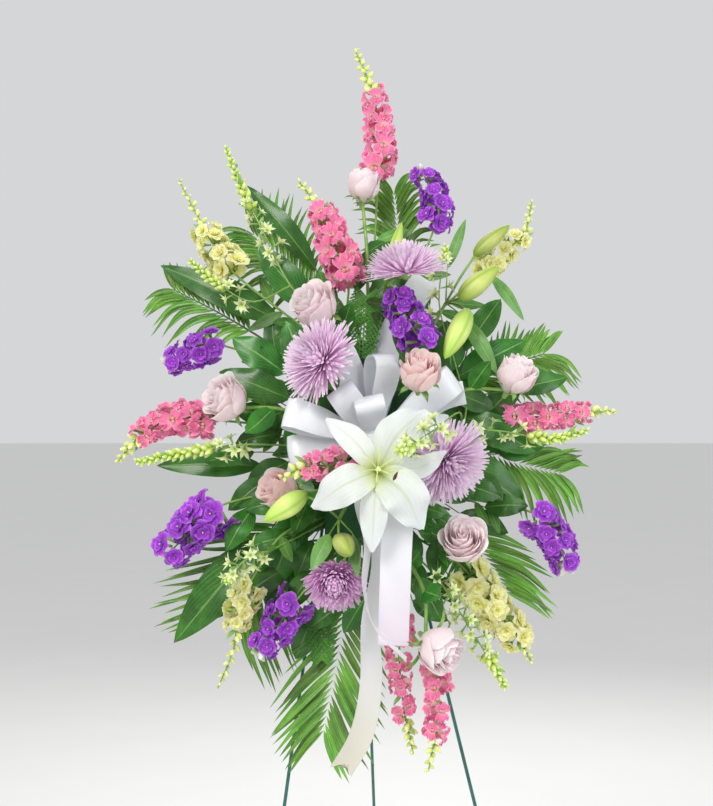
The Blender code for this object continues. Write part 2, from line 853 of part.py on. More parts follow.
ROSES = (
    ("rose_top", (1.1, 32.6, 9.0), (0.10, 1.0, 0.25), 0.030, "blush", 11),
    ("rose_upper_left", (-6.3, 14.6, 17.5), (-0.55, 0.55, 0.75), 0.037, "blush", 12),
    ("rose_left", (-19.6, 0.6, 14.0), (-0.75, 0.35, 0.65), 0.036, "blush", 13),
    ("rose_peach", (9.5, 4.6, 23.5), (0.05, 0.62, 0.78), 0.034, "peach", 14),
    ("rose_low_left", (-11.6, -13.0, 15.0), (-0.70, 0.30, 0.65), 0.033, "peach", 15),
    ("rose_right", (24.0, 4.2, 13.4), (0.45, 0.75, 0.45), 0.034, "blush", 16),
    ("rose_low_right", (16.1, -20.6, 17.5), (0.05, -0.05, 1.0), 0.040, "blush", 17),
    ("rose_bottom", (12.4, -37.0, 18.4), (0.65, -0.60, 0.50), 0.036, "blush", 18),
)

MUMS = (
    ("mum_top", (7.4, 19.4, 19.6), (-0.10, 0.95, 0.35), 0.060, 21, 0.0),
    ("mum_left", (-5.0, 6.2, 21.0), (-0.70, 0.28, 0.62), 0.062, 22, -0.1),
    ("mum_right", (13.4, -8.6, 18.5), (0.55, -0.52, 0.66), 0.062, 23, -0.1),
    ("mum_low", (-3.2, -26.5, 15.4), (0.02, -0.66, 0.74), 0.046, 24, -0.1),
)

SNAPDRAGONS = (
    (
        "snapdragon_top",
        ((3.2, 33.4, 6.0), (3.6, 39.0, 6.5), (2.4, 46.6, 6.5), (-0.2, 53.0, 6.0)),
        (0.0, 0.62, 5, 0.034),
        (6, 0.0085),
        31,
    ),
    (
        "snapdragon_upper_left",
        ((-1.2, 17.8, 12.0), (-2.7, 22.4, 12.0), (-5.2, 28.6, 11.0), (-8.6, 33.2, 10.0)),
        (0.0, 0.66, 5, 0.040),
        (4, 0.0085),
        32,
    ),
    (
        "snapdragon_left",
        ((-20.6, -2.6, 9.0), (-27.6, -2.4, 9.0), (-32.6, -5.2, 8.5), (-35.8, -8.8, 8.0)),
        (0.0, 0.70, 5, 0.034),
        (4, 0.0085),
        33,
    ),
    (
        "snapdragon_middle",
        ((-0.4, -8.8, 20.5), (-4.6, -9.4, 21.5), (-8.4, -10.0, 21.0), (-11.2, -11.2, 20.5)),
        (0.0, 0.64, 3, 0.030),
        (3, 0.0085),
        34,
    ),
    (
        "snapdragon_right",
        ((22.0, -2.4, 8.0), (29.0, -2.0, 8.5), (34.2, -1.4, 8.5), (38.6, -1.2, 8.0)),
        (0.0, 0.74, 5, 0.030),
        (4, 0.0075),
        35,
    ),
)
SNAPDRAGON_LOW = ((6.6, -29.8, 9.5), (6.4, -38.0, 8.6), (7.0, -45.0, 8.0), (8.5, -52.6, 6.5))
SNAPDRAGON_LOW_SIDE = ((7.4, -33.4, 9.2), (11.8, -40.0, 11.0), (12.2, -47.0, 11.0), (10.8, -55.2, 9.5))

PURPLE_STOCKS = (
    ("purple_stock_top", ((11.2, 25.0, 6.5), (12.2, 30.0, 7.5), (9.6, 35.0, 7.5)), 0.033, 41),
    ("purple_stock_middle", ((10.4, 7.6, 16.0), (8.2, 11.6, 16.6), (5.8, 16.6, 16.4)), 0.038, 42),
    ("purple_stock_left", ((-20.6, 8.8, 6.0), (-24.2, 7.8, 7.0), (-28.4, 5.8, 7.0)), 0.032, 43),
    (
        "purple_stock_low_left",
        ((-19.4, -15.0, 9.0), (-24.4, -18.8, 9.5), (-28.6, -23.0, 9.0)),
        0.044,
        44,
    ),
    (
        "purple_stock_bottom",
        ((-8.0, -28.4, 11.5), (-11.0, -32.4, 11.0), (-14.6, -37.6, 10.0)),
        0.036,
        45,
    ),
    ("purple_stock_right", ((26.4, -16.4, 9.0), (29.8, -20.4, 9.5), (31.8, -25.0, 9.0)), 0.036, 46),
)
YELLOW_STOCKS = (
    (
        "yellow_stock_upper_left",
        ((-17.4, 18.6, 8.6), (-21.0, 23.0, 9.0), (-24.2, 28.8, 8.6), (-26.6, 33.4, 8.0)),
        (0.0, 0.52, 3, 0.034),
        (5, 0.0095),
        51,
    ),
    (
        "yellow_stock_upper_right",
        ((18.0, 19.0, 7.5), (21.6, 22.2, 8.0), (25.2, 25.6, 8.0), (26.3, 30.2, 7.5)),
        (0.0, 0.58, 3, 0.030),
        (5, 0.0095),
        52,
    ),
    (
        "yellow_stock_low_left",
        ((-15.4, -26.0, 10.6), (-17.6, -30.8, 10.8), (-18.4, -36.8, 10.4), (-20.8, -42.8, 9.4)),
        (0.0, 0.44, 3, 0.032),
        (5, 0.0095),
        53,
    ),
    (
        "yellow_stock_low_right",
        ((15.6, -24.4, 9.5), (20.6, -30.6, 10.0), (24.4, -35.6, 9.5), (26.2, -38.8, 9.0)),
        (0.0, 0.80, 5, 0.040),
        (3, 0.0095),
        54,
    ),
)

LARKSPUR_UPPER = ((-9.9, 17.6, 9.5), (-14.0, 25.7, 9.5), (-17.3, 32.4, 9.0), (-19.7, 38.6, 8.0))
LARKSPUR_UPPER_SIDE = (
    (-9.9, 17.6, 9.5),
    (-15.4, 15.2, 11.4),
    (-20.4, 17.6, 12.4),
    (-25.1, 21.4, 12.0),
)
LARKSPUR_LEFT = ((-16.2, -6.2, 12.5), (-25.0, -7.4, 12.5), (-33.0, -8.9, 11.5))
LARKSPUR_LOW_LEFT = ((-12.2, -21.8, 12.6), (-16.7, -23.6, 14.6), (-19.6, -27.0, 15.0))
LARKSPUR_RIGHT = ((15.6, -4.2, 12.6), (21.5, -4.2, 12.0), (29.0, -5.4, 12.0), (34.6, -4.2, 11.5))
LARKSPUR_RIGHT_UP = (
    (15.6, -4.2, 12.6),
    (16.4, -0.4, 10.8),
    (14.6, 6.6, 12.0),
    (12.4, 15.0, 14.0),
    (13.4, 23.6, 13.0),
)
LARKSPUR_FRONT = ((15.6, -4.2, 12.6), (15.4, -1.4, 20.0), (11.4, -4.2, 27.4), (6.6, -7.2, 29.4))
LARKSPUR_LOW_RIGHT = (
    (11.6, -25.6, 12.5),
    (15.0, -30.6, 13.0),
    (19.4, -37.6, 12.5),
    (22.4, -42.8, 11.5),
)

BOW_KNOT = (2.8, -5.5, 14.5)
BOW_LOOPS = (
    (112, 12.6, 2.6, 10, 4),
    (38, 13.2, 2.8, 20, 4),
    (188, 11.2, 2.4, 0, 0),
    (84, 11.0, 3.6, 35, 20),
    (166, 12.4, 3.0, 5, 16),
    (5, 9.6, 2.8, -10, 14),
    (130, 8.8, 3.2, -10, 38),
    (102, 6.5, 3.2, 0, 52),
)


def easel():
    """Front legs, back leg with its eye, hinge and cross wires of green painted wire."""
    green = material("easel green", (0.014, 0.105, 0.080), 0.35, 0.3)
    apex = height_along(APEX_HEIGHT)
    for name, foot_x, top_x in (
        ("easel_left_leg", LEFT_FOOT_X, APEX_X - 0.004),
        ("easel_right_leg", RIGHT_FOOT_X, APEX_X + 0.004),
    ):
        top = plane_point(top_x, apex, 0.0)
        ankle = leg_point(foot_x, top_x, ANKLE)
        rod = tube([ankle - Vector((0, 0, ANKLE)), ankle, top], WIRE, resolution=1)
        fuse(name, [rod], green)
    cross_wire("easel_upper_cross_wire", UPPER_CROSS_HEIGHT, WIRE_SEAT, green)
    cross_wire("easel_lower_cross_wire", LOWER_CROSS_HEIGHT, WIRE_SEAT, green)
    cross_wire("easel_stop_wire", HINGE_HEIGHT + stop_rise() * math.cos(LEAN), WIRE_SEAT, green)
    hinge_wire(green)
    back_leg(green)


def height_along(height):
    """Distance along the leaning plane for a height above the floor."""
    return height / math.cos(LEAN)


def leg_point(foot_x, top_x, height):
    share = height / APEX_HEIGHT
    return plane_point(foot_x + (top_x - foot_x) * share, height_along(height), 0.0)


def cross_wire(name, height, out, finish):
    """A straight wire welded across both front legs, in front of them or behind."""
    left = leg_point(LEFT_FOOT_X, APEX_X - 0.004, height).x - 0.012
    right = leg_point(RIGHT_FOOT_X, APEX_X + 0.004, height).x + 0.012
    along_plane = height_along(height)
    ends = [plane_point(left, along_plane, out), plane_point(right, along_plane, out)]
    fuse(name, [tube(ends, THIN_WIRE, resolution=2)], finish)


def hinge_axis():
    return plane_point(HINGE_X, height_along(HINGE_HEIGHT), -WIRE_SEAT)


def hinge_wire(finish):
    centre = hinge_axis()
    left = leg_point(LEFT_FOOT_X, APEX_X - 0.004, HINGE_HEIGHT).x - 0.008
    right = leg_point(RIGHT_FOOT_X, APEX_X + 0.004, HINGE_HEIGHT).x + 0.008
    ends = [Vector((left, centre.y, centre.z)), Vector((right, centre.y, centre.z))]
    fuse("easel_hinge_wire", [tube(ends, THIN_WIRE, resolution=2)], finish)


def leg_direction():
    """Down the back leg, from its hinge to its ankle."""
    ankle = Vector((BACK_FOOT[0], BACK_FOOT[1], ANKLE))
    return (ankle - hinge_axis()).normalized()


def stop_rise():
    """How far up the leaning plane from the hinge the stop wire lies, just clear of the heel."""
    heel = -leg_direction()
    flat = Vector((0.0, heel.y, heel.z)).normalized()
    ahead = flat.dot(FORWARD)
    upright = flat.dot(UPWARD)
    return (2.0 * WIRE_SEAT * upright - (WIRE + THIN_WIRE + GAP)) / ahead


def back_leg(finish):
    """The folding leg: an eye round the hinge wire, its heel above, and a wire down to its foot."""
    axis = hinge_axis()
    ring_radius = THIN_WIRE + WIRE + 0.0006
    foot = Vector((BACK_FOOT[0], BACK_FOOT[1], 0.0))
    ankle = foot + Vector((0.0, 0.0, ANKLE))
    downward = leg_direction()
    level = Vector((0.0, downward.y, downward.z)).normalized()
    square = RIGHT.cross(level).normalized()
    turns = 12
    eye = []
    for i in range(turns):
        angle = 2 * math.pi * (i + 0.5) / turns
        reach = level * math.cos(angle) + square * math.sin(angle)
        eye.append(axis + reach * ring_radius)
    ring = tube(eye, 0.92 * WIRE, resolution=1, closed=True)
    start = axis + downward * (ring_radius - 0.0010)
    rod = tube([start, ankle, foot], WIRE, resolution=1)
    heel = tube([axis - level * (ring_radius - 0.0010), axis - level * HEEL], WIRE, resolution=1)
    leg = fuse("easel_back_leg", [rod, ring, heel], finish)
    for vert in leg.data.vertices:
        vert.co -= axis
    leg.location = axis


def holder():
    """The cage tray with its hooks, and the foam block with a hole for each stem."""
    cage = material("cage plastic", (0.02, 0.09, 0.03), 0.45)
    wet = material("wet foam", (0.02, 0.10, 0.03), 0.95)
    wide = FOAM_WIDTH + 2.0 * (TRAY_WALL + GAP)
    long = FOAM_LENGTH + 2.0 * (TRAY_WALL + GAP)
    pieces = [plane_box(FOAM_X, FOAM_UP, TRAY_BACK + 0.5 * TRAY_WALL, wide, long, TRAY_WALL)]
    middle = TRAY_BACK + 0.5 * TRAY_RIM
    for hand in (-1, 1):
        x = FOAM_X + hand * 0.5 * (wide - TRAY_WALL)
        pieces.append(plane_box(x, FOAM_UP, middle, TRAY_WALL, long, TRAY_RIM))
        up = FOAM_UP + hand * 0.5 * (long - TRAY_WALL)
        pieces.append(plane_box(FOAM_X, up, middle, wide, TRAY_WALL, TRAY_RIM))
    wire_up = height_along(UPPER_CROSS_HEIGHT)
    lug_up = wire_up + THIN_WIRE + GAP + 0.5 * HOOK_DEPTH
    lip_out = WIRE_SEAT - THIN_WIRE - GAP - 0.5 * HOOK_LIP
    lug_back = lip_out - 0.5 * HOOK_LIP
    lug_middle = 0.5 * (lug_back + TRAY_BACK + 0.001)
    lug_reach = TRAY_BACK + 0.001 - lug_back
    pieces.append(plane_box(HOOK_X, lug_up, lug_middle, HOOK_WIDTH, HOOK_DEPTH, lug_reach))
    lip_top = lug_up + 0.5 * HOOK_DEPTH
    lip_length = lip_top - (wire_up - 0.0015)
    lip_up = lip_top - 0.5 * lip_length
    pieces.append(plane_box(HOOK_X, lip_up, lip_out, HOOK_WIDTH, lip_length, HOOK_LIP))
    fuse("cage_tray", pieces, cage)
    depth = FOAM_FRONT - FOAM_BACK
    middle = FOAM_BACK + 0.5 * depth
    block = plane_box(FOAM_X, FOAM_UP, middle, FOAM_WIDTH, FOAM_LENGTH, depth)
    for start, end, radius in stem_holes:
        drill = tube([start, end], (radius + GAP) * math.sqrt(2.0))
        workshop.objects.unlink(drill)
        cutters.objects.link(drill)
        drill.name = "stem_hole"
        drill.display_type = "WIRE"
        drill.hide_render = True
    cut = block.modifiers.new("stem holes", "BOOLEAN")
    cut.operation = "DIFFERENCE"
    cut.operand_type = "COLLECTION"
    cut.collection = cutters
    cut.solver = "EXACT"
    fuse("foam_block", [block], wet)


def plane_box(x, up, out, width, length, depth):
    """A box in the leaning plane, by its middle and its sides."""
    shape = bmesh.new()
    bmesh.ops.create_cube(shape, size=1.0)
    for vert in shape.verts:
        centre = plane_point(x + vert.co.x * width, up + vert.co.z * length, out - vert.co.y * depth)
        vert.co = centre
    return finish_shape(shape)


def flowers():
    petals = {
        "blush": material("blush rose", (0.87, 0.63, 0.65), 0.5),
        "peach": material("peach rose", (0.89, 0.50, 0.45), 0.5),
    }
    for name, place, mouth, size, tint, seed in ROSES:
        facing = RIGHT * mouth[0] + UPWARD * mouth[1] + FORWARD * mouth[2]
        rose(name, spot(*place), facing, size, petals[tint], seed)
    lavender = material("lavender mum", (0.62, 0.40, 0.66), 0.5)
    for name, place, mouth, size, seed, brim in MUMS:
        facing = RIGHT * mouth[0] + UPWARD * mouth[1] + FORWARD * mouth[2]
        spider_mum(name, spot(*place), facing, size, lavender, seed, brim)
    pink = material("pink snapdragon", (0.83, 0.16, 0.30), 0.5)
    for name, rows, florets, buds, seed in SNAPDRAGONS:
        spike(name, spots(rows), 0.0022, florets, buds, 4, pink, seed)
    florets = (0.0, 0.74, 5, 0.028)
    side = (spots(SNAPDRAGON_LOW_SIDE), (0.24, 0.76, 4, 0.029), (3, 0.0085))
    path = spots(SNAPDRAGON_LOW)
    spike("snapdragons_bottom", path, 0.0024, florets, (4, 0.0085), 4, pink, 36, more=(side,))
    purple = material("purple stock", (0.20, 0.035, 0.55), 0.5)
    for name, rows, reach, seed in PURPLE_STOCKS:
        spike(name, spots(rows), 0.0024, (0.0, 0.90, 3, reach), (1, 0.014), 5, purple, seed)
    yellow = material("yellow stock", (0.88, 0.80, 0.40), 0.5)
    for name, rows, florets, buds, seed in YELLOW_STOCKS:
        spike(name, spots(rows), 0.0024, florets, buds, 4, yellow, seed)
    larkspurs()
    lilies()


def larkspurs():
    """Larkspur: thin stems with small stars and a dense tip of buds."""
    pale = material("pale larkspur", (0.60, 0.74, 0.36), 0.5)
    stars = (0.0150, 0.0150, 4, 0.42, 0.12)
    tip = (0.52, 0.0070, 8)
    side = (spots(LARKSPUR_UPPER_SIDE), (3, 0.35, 0.66, *stars), (0.60, 0.0065, 6))
    path = spots(LARKSPUR_UPPER)
    starry("larkspur_upper_left", path, 0.0018, (5, 0.15, 0.58, *stars), tip, pale, 61, more=(side,))
    path = spots(LARKSPUR_LEFT)
    starry("larkspur_left", path, 0.0018, (3, 0.0, 0.30, *stars), (0.30, 0.0078, 10), pale, 62)
    path = spots(LARKSPUR_LOW_LEFT)
    starry("larkspur_low_left", path, 0.0018, (6, 0.1, 1.0, *stars), (0.8, 0.006, 3), pale, 63)
    up = (spots(LARKSPUR_RIGHT_UP), (3, 0.6, 0.99, *stars), (0.9, 0.0060, 3))
    front = (spots(LARKSPUR_FRONT), (2, 0.55, 0.8, *stars), (0.66, 0.0095, 6))
    path = spots(LARKSPUR_RIGHT)
    starry("larkspur_right", path, 0.0018, (4, 0.05, 0.62, *stars), tip, pale, 64, more=(up, front))
    path = spots(LARKSPUR_LOW_RIGHT)
    starry("larkspur_low_right", path, 0.0018, (6, 0.0, 0.74, *stars), (0.70, 0.0070, 5), pale, 65)


LILY_CENTRE = (3.2, -10.0, 26.0)
LILY_TEPALS = (
    ((6.4, -4.6, 26.5), (10.4, -1.0, 24.0), 6.0),
    ((9.6, -9.6, 25.0), (13.4, -7.2, 26.0), 3.2),
    ((7.4, -14.0, 26.0), (9.6, -19.0, 22.5), 6.2),
    ((2.6, -16.4, 25.0), (2.3, -22.4, 23.0), 3.8),
    ((-2.2, -12.6, 27.0), (-6.6, -15.8, 24.0), 5.2),
    ((-0.6, -5.4, 26.0), (-4.6, -2.4, 24.5), 3.6),
)


def lilies():
    white = material("white lily", (0.86, 0.90, 0.84), 0.45)
    bud = material("lily bud", (0.52, 0.68, 0.16), 0.45)
    open_lily("lily_open", spot(*LILY_CENTRE), white, LILY_TEPALS)
    branch("lily_branch_right", bud, RIGHT_LILY_STEM, 0.0032, RIGHT_LILY_LEAVES, RIGHT_BUDS)
    branch("lily_branch_left", bud, LEFT_LILY_STEM, 0.0032, LEFT_LILY_LEAVES, LEFT_BUDS)


RIGHT_LILY_STEM = ((9.5, 8.0, 11.0), (13.4, 15.0, 10.5))
RIGHT_BUDS = (
    ((17.5, 22.0, 12.0), (23.0, 26.7, 12.5), 2.4, 1.0),
    ((15.2, 15.4, 15.5), (21.4, 20.4, 16.5), 3.1, 1.0),
    ((16.9, 14.2, 14.5), (13.2, 6.6, 16.5), 3.3, 1.0),
    ((4.6, 17.8, 13.4), (6.8, 27.2, 12.2), 2.2, 0.2),
)
RIGHT_LILY_LEAVES = (
    ((13.6, 20.0, 10.0), (16.4, 27.6, 10.0), 1.6, 1.0),
    ((20.0, 19.4, 13.0), (25.1, 12.4, 12.0), 1.8, 1.0),
    ((16.0, 13.0, 11.5), (21.2, 4.2, 12.5), 2.4, 1.0),
)
LEFT_LILY_STEM = ((-1.0, -14.5, 12.0), (-2.6, -17.4, 14.5))
LEFT_BUDS = (
    ((-7.4, -13.4, 19.0), (-14.0, -17.8, 19.5), 3.2, 1.0),
    ((-2.8, -20.0, 18.0), (-0.8, -22.8, 21.4), 3.0, 1.0),
)
LEFT_LILY_LEAVES = (
    ((-4.0, -19.6, 18.4), (-6.8, -25.2, 20.0), 2.4, 1.0),
    ((-0.6, -19.6, 17.0), (0.2, -26.4, 19.0), 1.6, 1.0),
)


def branch(name, finish, stem_rows, radius, leaves, buds=(), extra=()):
    """A stem with leaves and buds on short stalks, each from a share of the way along it."""
    rows = spots(stem_rows)
    stem = stem_to(name, rows[0], radius, 0.5)
    pieces = [tube(stem[:-1] + rows, radius, tip=0.8 * radius)]
    for base, tip, width, share in buds:
        root = rows[0] + (rows[1] - rows[0]) * share
        start = spot(*base)
        end = spot(*tip)
        axis = (end - start).normalized()
        stalk = [root, root.lerp(start, 0.55) + FORWARD * 0.006, start + axis * 0.006]
        pieces.append(tube(stalk, 0.0018))
        pieces.append(lily_bud(start, end, width * CM))
    for base, tip, width, share in leaves:
        root = rows[0] + (rows[1] - rows[0]) * share
        start = spot(*base)
        end = spot(*tip)
        middle = start.lerp(end, 0.5) + FORWARD * (0.08 * (end - start).length)
        whole = (start - root).length + (end - start).length
        stalk = (start - root).length / whole
        blade = [root, start, middle, end]
        pieces.append(leaf(blade, width * CM, FORWARD, rows=4, stalk=stalk))
    return fuse(name, pieces + list(extra), finish)


def ribbons():
    """The bow with its loops, knot and tails, and the two streamers under it."""
    satin = material("white satin", (0.80, 0.83, 0.85), 0.35)
    knot = spot(*BOW_KNOT)
    pieces = [ball(4, 8, lambda point: knot + point * BOW_KNOT_SIZE)]
    for row in BOW_LOOPS:
        pieces.append(band(*bow_loop(knot, *row)))
    for rows in BOW_TAILS:
        pieces.append(tail(rows))
    fuse("bow", pieces, satin)
    for name, rows in STREAMERS:
        fuse(name, [tail(rows)], satin)


def tail(rows):
    """A strip through rows of (across, up, out, turn), gathered at the knot and turned by degrees."""
    points = spots(row[:3] for row in rows)
    widths = []
    for i, row in enumerate(rows):
        heading = points[min(i + 1, len(points) - 1)] - points[max(i - 1, 0)]
        flat = heading.cross(FORWARD).normalized()
        edge = flat.cross(heading).normalized()
        turn = math.radians(row[3])
        gathered = 0.35 if i == 0 else 1.0
        widths.append((flat * math.cos(turn) + edge * math.sin(turn)) * gathered)
    return band(points, widths)


BOW_KNOT_SIZE = 0.019
BOW_START = 0.011
BOW_TAILS = (
    (
        (4.0, -4.8, 14.2, 0),
        (7.6, -2.6, 13.4, 10),
        (12.4, 0.6, 14.2, 20),
        (16.2, 1.6, 15.0, 25),
    ),
    (
        (2.9, -4.4, 13.6, 0),
        (3.2, 1.0, 12.0, 0),
        (4.6, 8.0, 10.8, -10),
        (7.2, 13.6, 9.8, -10),
        (10.4, 18.6, 10.0, -10),
    ),
    (
        (2.6, -6.6, 15.0, 0),
        (2.3, -10.0, 16.2, 10),
        (1.4, -16.0, 18.0, 40),
        (1.6, -22.0, 20.4, 75),
        (1.2, -28.0, 22.8, 82),
        (2.8, -33.6, 23.8, 85),
        (7.6, -38.6, 22.8, 80),
    ),
)
STREAMERS = (
    (
        "streamer_short",
        (
            (3.6, -6.9, 15.35, 0),
            (5.4, -10.4, 18.6, 0),
            (6.2, -16.0, 20.2, 0),
            (5.9, -24.0, 20.4, 2),
            (5.5, -36.4, 19.6, 8),
        ),
    ),
    (
        "streamer_long",
        (
            (2.85, -7.51, 14.2, 0),
            (3.6, -13.0, 14.6, 10),
            (3.8, -24.0, 15.4, 45),
            (2.2, -33.0, 16.4, 50),
            (2.2, -42.0, 15.4, 45),
            (0.8, -49.6, 14.4, 40),
            (-2.4, -55.4, 13.8, 40),
        ),
    ),
)


# Foliage.

PALMS = (
    ("palm_top", (((7.0, 17.0, 3.5), (6.4, 24.0, 4.0), (5.6, 31.5, 3.0)), 10.0, 12)),
    (
        "palms_upper_left",
        (((-5.0, 14.0, 3.6), (-10.4, 20.6, 3.8), (-15.6, 25.4, 3.0)), 12.0, 13),
        (((-14.0, 9.6, 3.0), (-20.4, 13.4, 3.5), (-27.4, 17.0, 2.5)), 9.0, 12),
    ),
    (
        "palm_low_left",
        (((-10.2, -16.4, 3.4), (-14.0, -22.4, 3.8), (-17.6, -31.0, 3.0)), 16.0, 14),
    ),
    ("palm_bottom", (((-0.6, -25.4, 4.5), (-2.4, -36.0, 5.5), (-5.0, -49.6, 4.0)), 12.0, 15)),
    (
        "palm_low_right",
        (((14.0, -16.0, 4.0), (18.4, -22.0, 4.5), (22.6, -28.6, 3.5)), 11.0, 12),
    ),
    (
        "palms_right",
        (((17.0, -6.4, 4.0), (24.0, -9.0, 5.0), (30.6, -10.6, 3.0)), 10.0, 12),
        (((15.0, 1.6, 3.5), (21.6, 5.2, 4.0), (28.2, 7.4, 3.0)), 10.0, 12),
    ),
)
BROAD_LEFT_STEM = ((-6.0, 10.0, 4.4), (-8.0, 13.0, 4.8))
BROAD_LEFT = (
    ((-6.0, 20.0, 5.0), (-16.4, 32.6, 5.0), 3.6, 1.0),
    ((-11.0, 12.0, 4.6), (-29.4, 20.6, 3.4), 4.8, 1.0),
    ((-7.0, 14.0, 5.6), (-15.0, 23.6, 5.4), 5.0, 0.9),
)
BROAD_LOW_STEM = ((-7.0, -13.4, 5.0), (-10.4, -15.6, 5.4))
BROAD_LOW = (
    ((-14.0, -9.4, 5.4), (-30.0, -9.4, 5.4), 3.8, 1.0),
    ((-13.6, -20.0, 6.0), (-27.4, -36.0, 5.0), 6.4, 1.0),
    ((-9.0, -20.0, 5.2), (-12.6, -33.0, 5.4), 5.4, 0.8),
)
SALAL_LEFT_STEM = ((-6.4, 1.0, 8.4), (-9.4, 1.0, 8.8))
SALAL_LEFT = (
    ((-10.6, 4.4, 9.0), (-18.6, 9.8, 9.4), 4.8, 1.0),
    ((-10.0, 0.6, 9.4), (-20.6, 4.6, 9.4), 4.8, 1.0),
    ((-9.6, -2.6, 8.4), (-18.4, -1.0, 8.4), 4.2, 1.0),
    ((-8.4, -16.0, 8.0), (-13.0, -28.0, 7.4), 5.6, 0.2),
    ((-7.0, 4.0, 10.6), (-10.6, 12.4, 11.0), 5.2, 0.4),
)
SALAL_RIGHT_STEM = ((12.0, 0.0, 9.5), (14.4, 0.6, 10.0))
SALAL_RIGHT = (
    ((15.0, 3.8, 9.0), (25.4, 9.4, 8.8), 4.8, 1.0),
    ((17.0, 9.0, 9.0), (21.6, 15.6, 9.0), 3.8, 1.0),
    ((16.0, -2.0, 9.0), (27.0, -7.4, 9.6), 4.8, 1.0),
    ((15.0, -8.0, 9.0), (25.0, -15.2, 8.0), 5.8, 0.4),
    ((24.0, 2.0, 8.0), (31.6, 3.8, 7.0), 3.4, 1.0),
    ((14.2, 4.6, 10.2), (13.6, 12.4, 10.8), 4.6, 1.0),
)
FERN_UPPER = (
    (((0.6, 5.0, 11.6), (0.8, 10.0, 12.2), (1.4, 15.6, 11.4)), 4.0, 11),
)
FERN_LOWER = (
    (((-4.4, -24.0, 7.2), (-5.2, -30.0, 7.6), (-5.2, -38.0, 7.2)), 3.2, 11),
)


def frond(name, rows, reach, count, droop, root=None):
    """A stalk and its comb of leaflets."""
    path = spots(rows)
    stem = stem_to(name, path[0], 0.0018, 0.6) if root is None else [root, path[0]]
    neck, heading = along(smooth(path, 4), FROND_START + 0.05)
    stalk = stem[:-1] + [path[0], neck]
    return [tube(stalk, 0.0018, tip=0.0014), comb(path, reach * CM, FORWARD, count, droop)]


def foliage():
    """Palm fronds, broad leaves, leafy twigs and fern tips behind the flowers."""
    palm = material("palm frond", (0.08, 0.24, 0.02), 0.4)
    for name, *rows in PALMS:
        pieces = frond(name, *rows[0], PALM_DROOP)
        root = spot(*rows[0][0][0])
        for row in rows[1:]:
            pieces += frond(name, *row, PALM_DROOP, root)
        fuse(name, pieces, palm)
    dark = material("glossy leaf", (0.02, 0.12, 0.01), 0.3)
    branch("broad_leaves_left", dark, BROAD_LEFT_STEM, 0.0030, BROAD_LEFT)
    branch("broad_leaves_low", dark, BROAD_LOW_STEM, 0.0030, BROAD_LOW)
    branch("salal_left", dark, SALAL_LEFT_STEM, 0.0024, SALAL_LEFT)
    branch("salal_right", dark, SALAL_RIGHT_STEM, 0.0024, SALAL_RIGHT)
    fern = material("fern", (0.05, 0.22, 0.02), 0.55)
    for name, rows in (("fern_upper", FERN_UPPER), ("fern_lower", FERN_LOWER)):
        pieces = []
        for row in rows:
            pieces += frond(name, *row, FERN_DROOP)
        fuse(name, pieces, fern)


def settle():
    """Moves the whole so that its box stands on the floor, centred over the origin."""
    bpy.context.view_layer.update()
    corners = []
    for thing in spray.objects:
        corners += [thing.matrix_world @ vert.co for vert in thing.data.vertices]
    low = Vector([min(corner[i] for corner in corners) for i in range(3)])
    high = Vector([max(corner[i] for corner in corners) for i in range(3)])
    shift = Vector((-0.5 * (low.x + high.x), -0.5 * (low.y + high.y), -low.z))
    for thing in spray.objects:
        thing.location += shift


clear_scene()
workshop = collection_named("workshop")
cutters = collection_named("stem hole cutters")
spray = collection_named("standing funeral spray")
easel()
flowers()
foliage()
ribbons()
holder()
settle()
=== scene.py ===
"""Looks of the standing funeral spray: petals, leaves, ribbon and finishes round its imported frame.

Units are metres and the front faces -Y. Every place in the tables is (across, up, out) in
centimetres, as in the part: across and up are what a viewer at EYE sees on the upright plane
through the origin, from VIEW_HEIGHT above the floor, and out is in front of the easel's wires.
"""

import json
import math
import random

import bpy
import numpy as np
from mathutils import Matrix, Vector

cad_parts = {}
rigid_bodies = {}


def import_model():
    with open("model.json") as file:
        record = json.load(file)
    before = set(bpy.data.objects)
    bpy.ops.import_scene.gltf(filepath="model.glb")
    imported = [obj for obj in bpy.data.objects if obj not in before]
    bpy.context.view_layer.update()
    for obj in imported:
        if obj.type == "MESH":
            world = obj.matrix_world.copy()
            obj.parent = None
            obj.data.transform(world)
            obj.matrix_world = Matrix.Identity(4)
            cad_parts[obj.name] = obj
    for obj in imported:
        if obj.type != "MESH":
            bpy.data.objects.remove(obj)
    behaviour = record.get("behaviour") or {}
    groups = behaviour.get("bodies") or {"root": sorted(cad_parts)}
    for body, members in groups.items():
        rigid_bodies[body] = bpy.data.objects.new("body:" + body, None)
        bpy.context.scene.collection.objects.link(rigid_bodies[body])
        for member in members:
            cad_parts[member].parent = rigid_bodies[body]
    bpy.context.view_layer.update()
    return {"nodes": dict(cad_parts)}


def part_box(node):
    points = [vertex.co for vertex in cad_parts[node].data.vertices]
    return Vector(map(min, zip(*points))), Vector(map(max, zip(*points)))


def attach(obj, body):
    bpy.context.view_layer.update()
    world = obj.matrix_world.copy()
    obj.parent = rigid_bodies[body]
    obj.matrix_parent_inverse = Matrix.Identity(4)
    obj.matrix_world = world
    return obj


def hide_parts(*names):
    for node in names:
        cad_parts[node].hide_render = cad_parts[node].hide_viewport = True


CM = 0.01
PI = math.pi
GAP = 0.0003

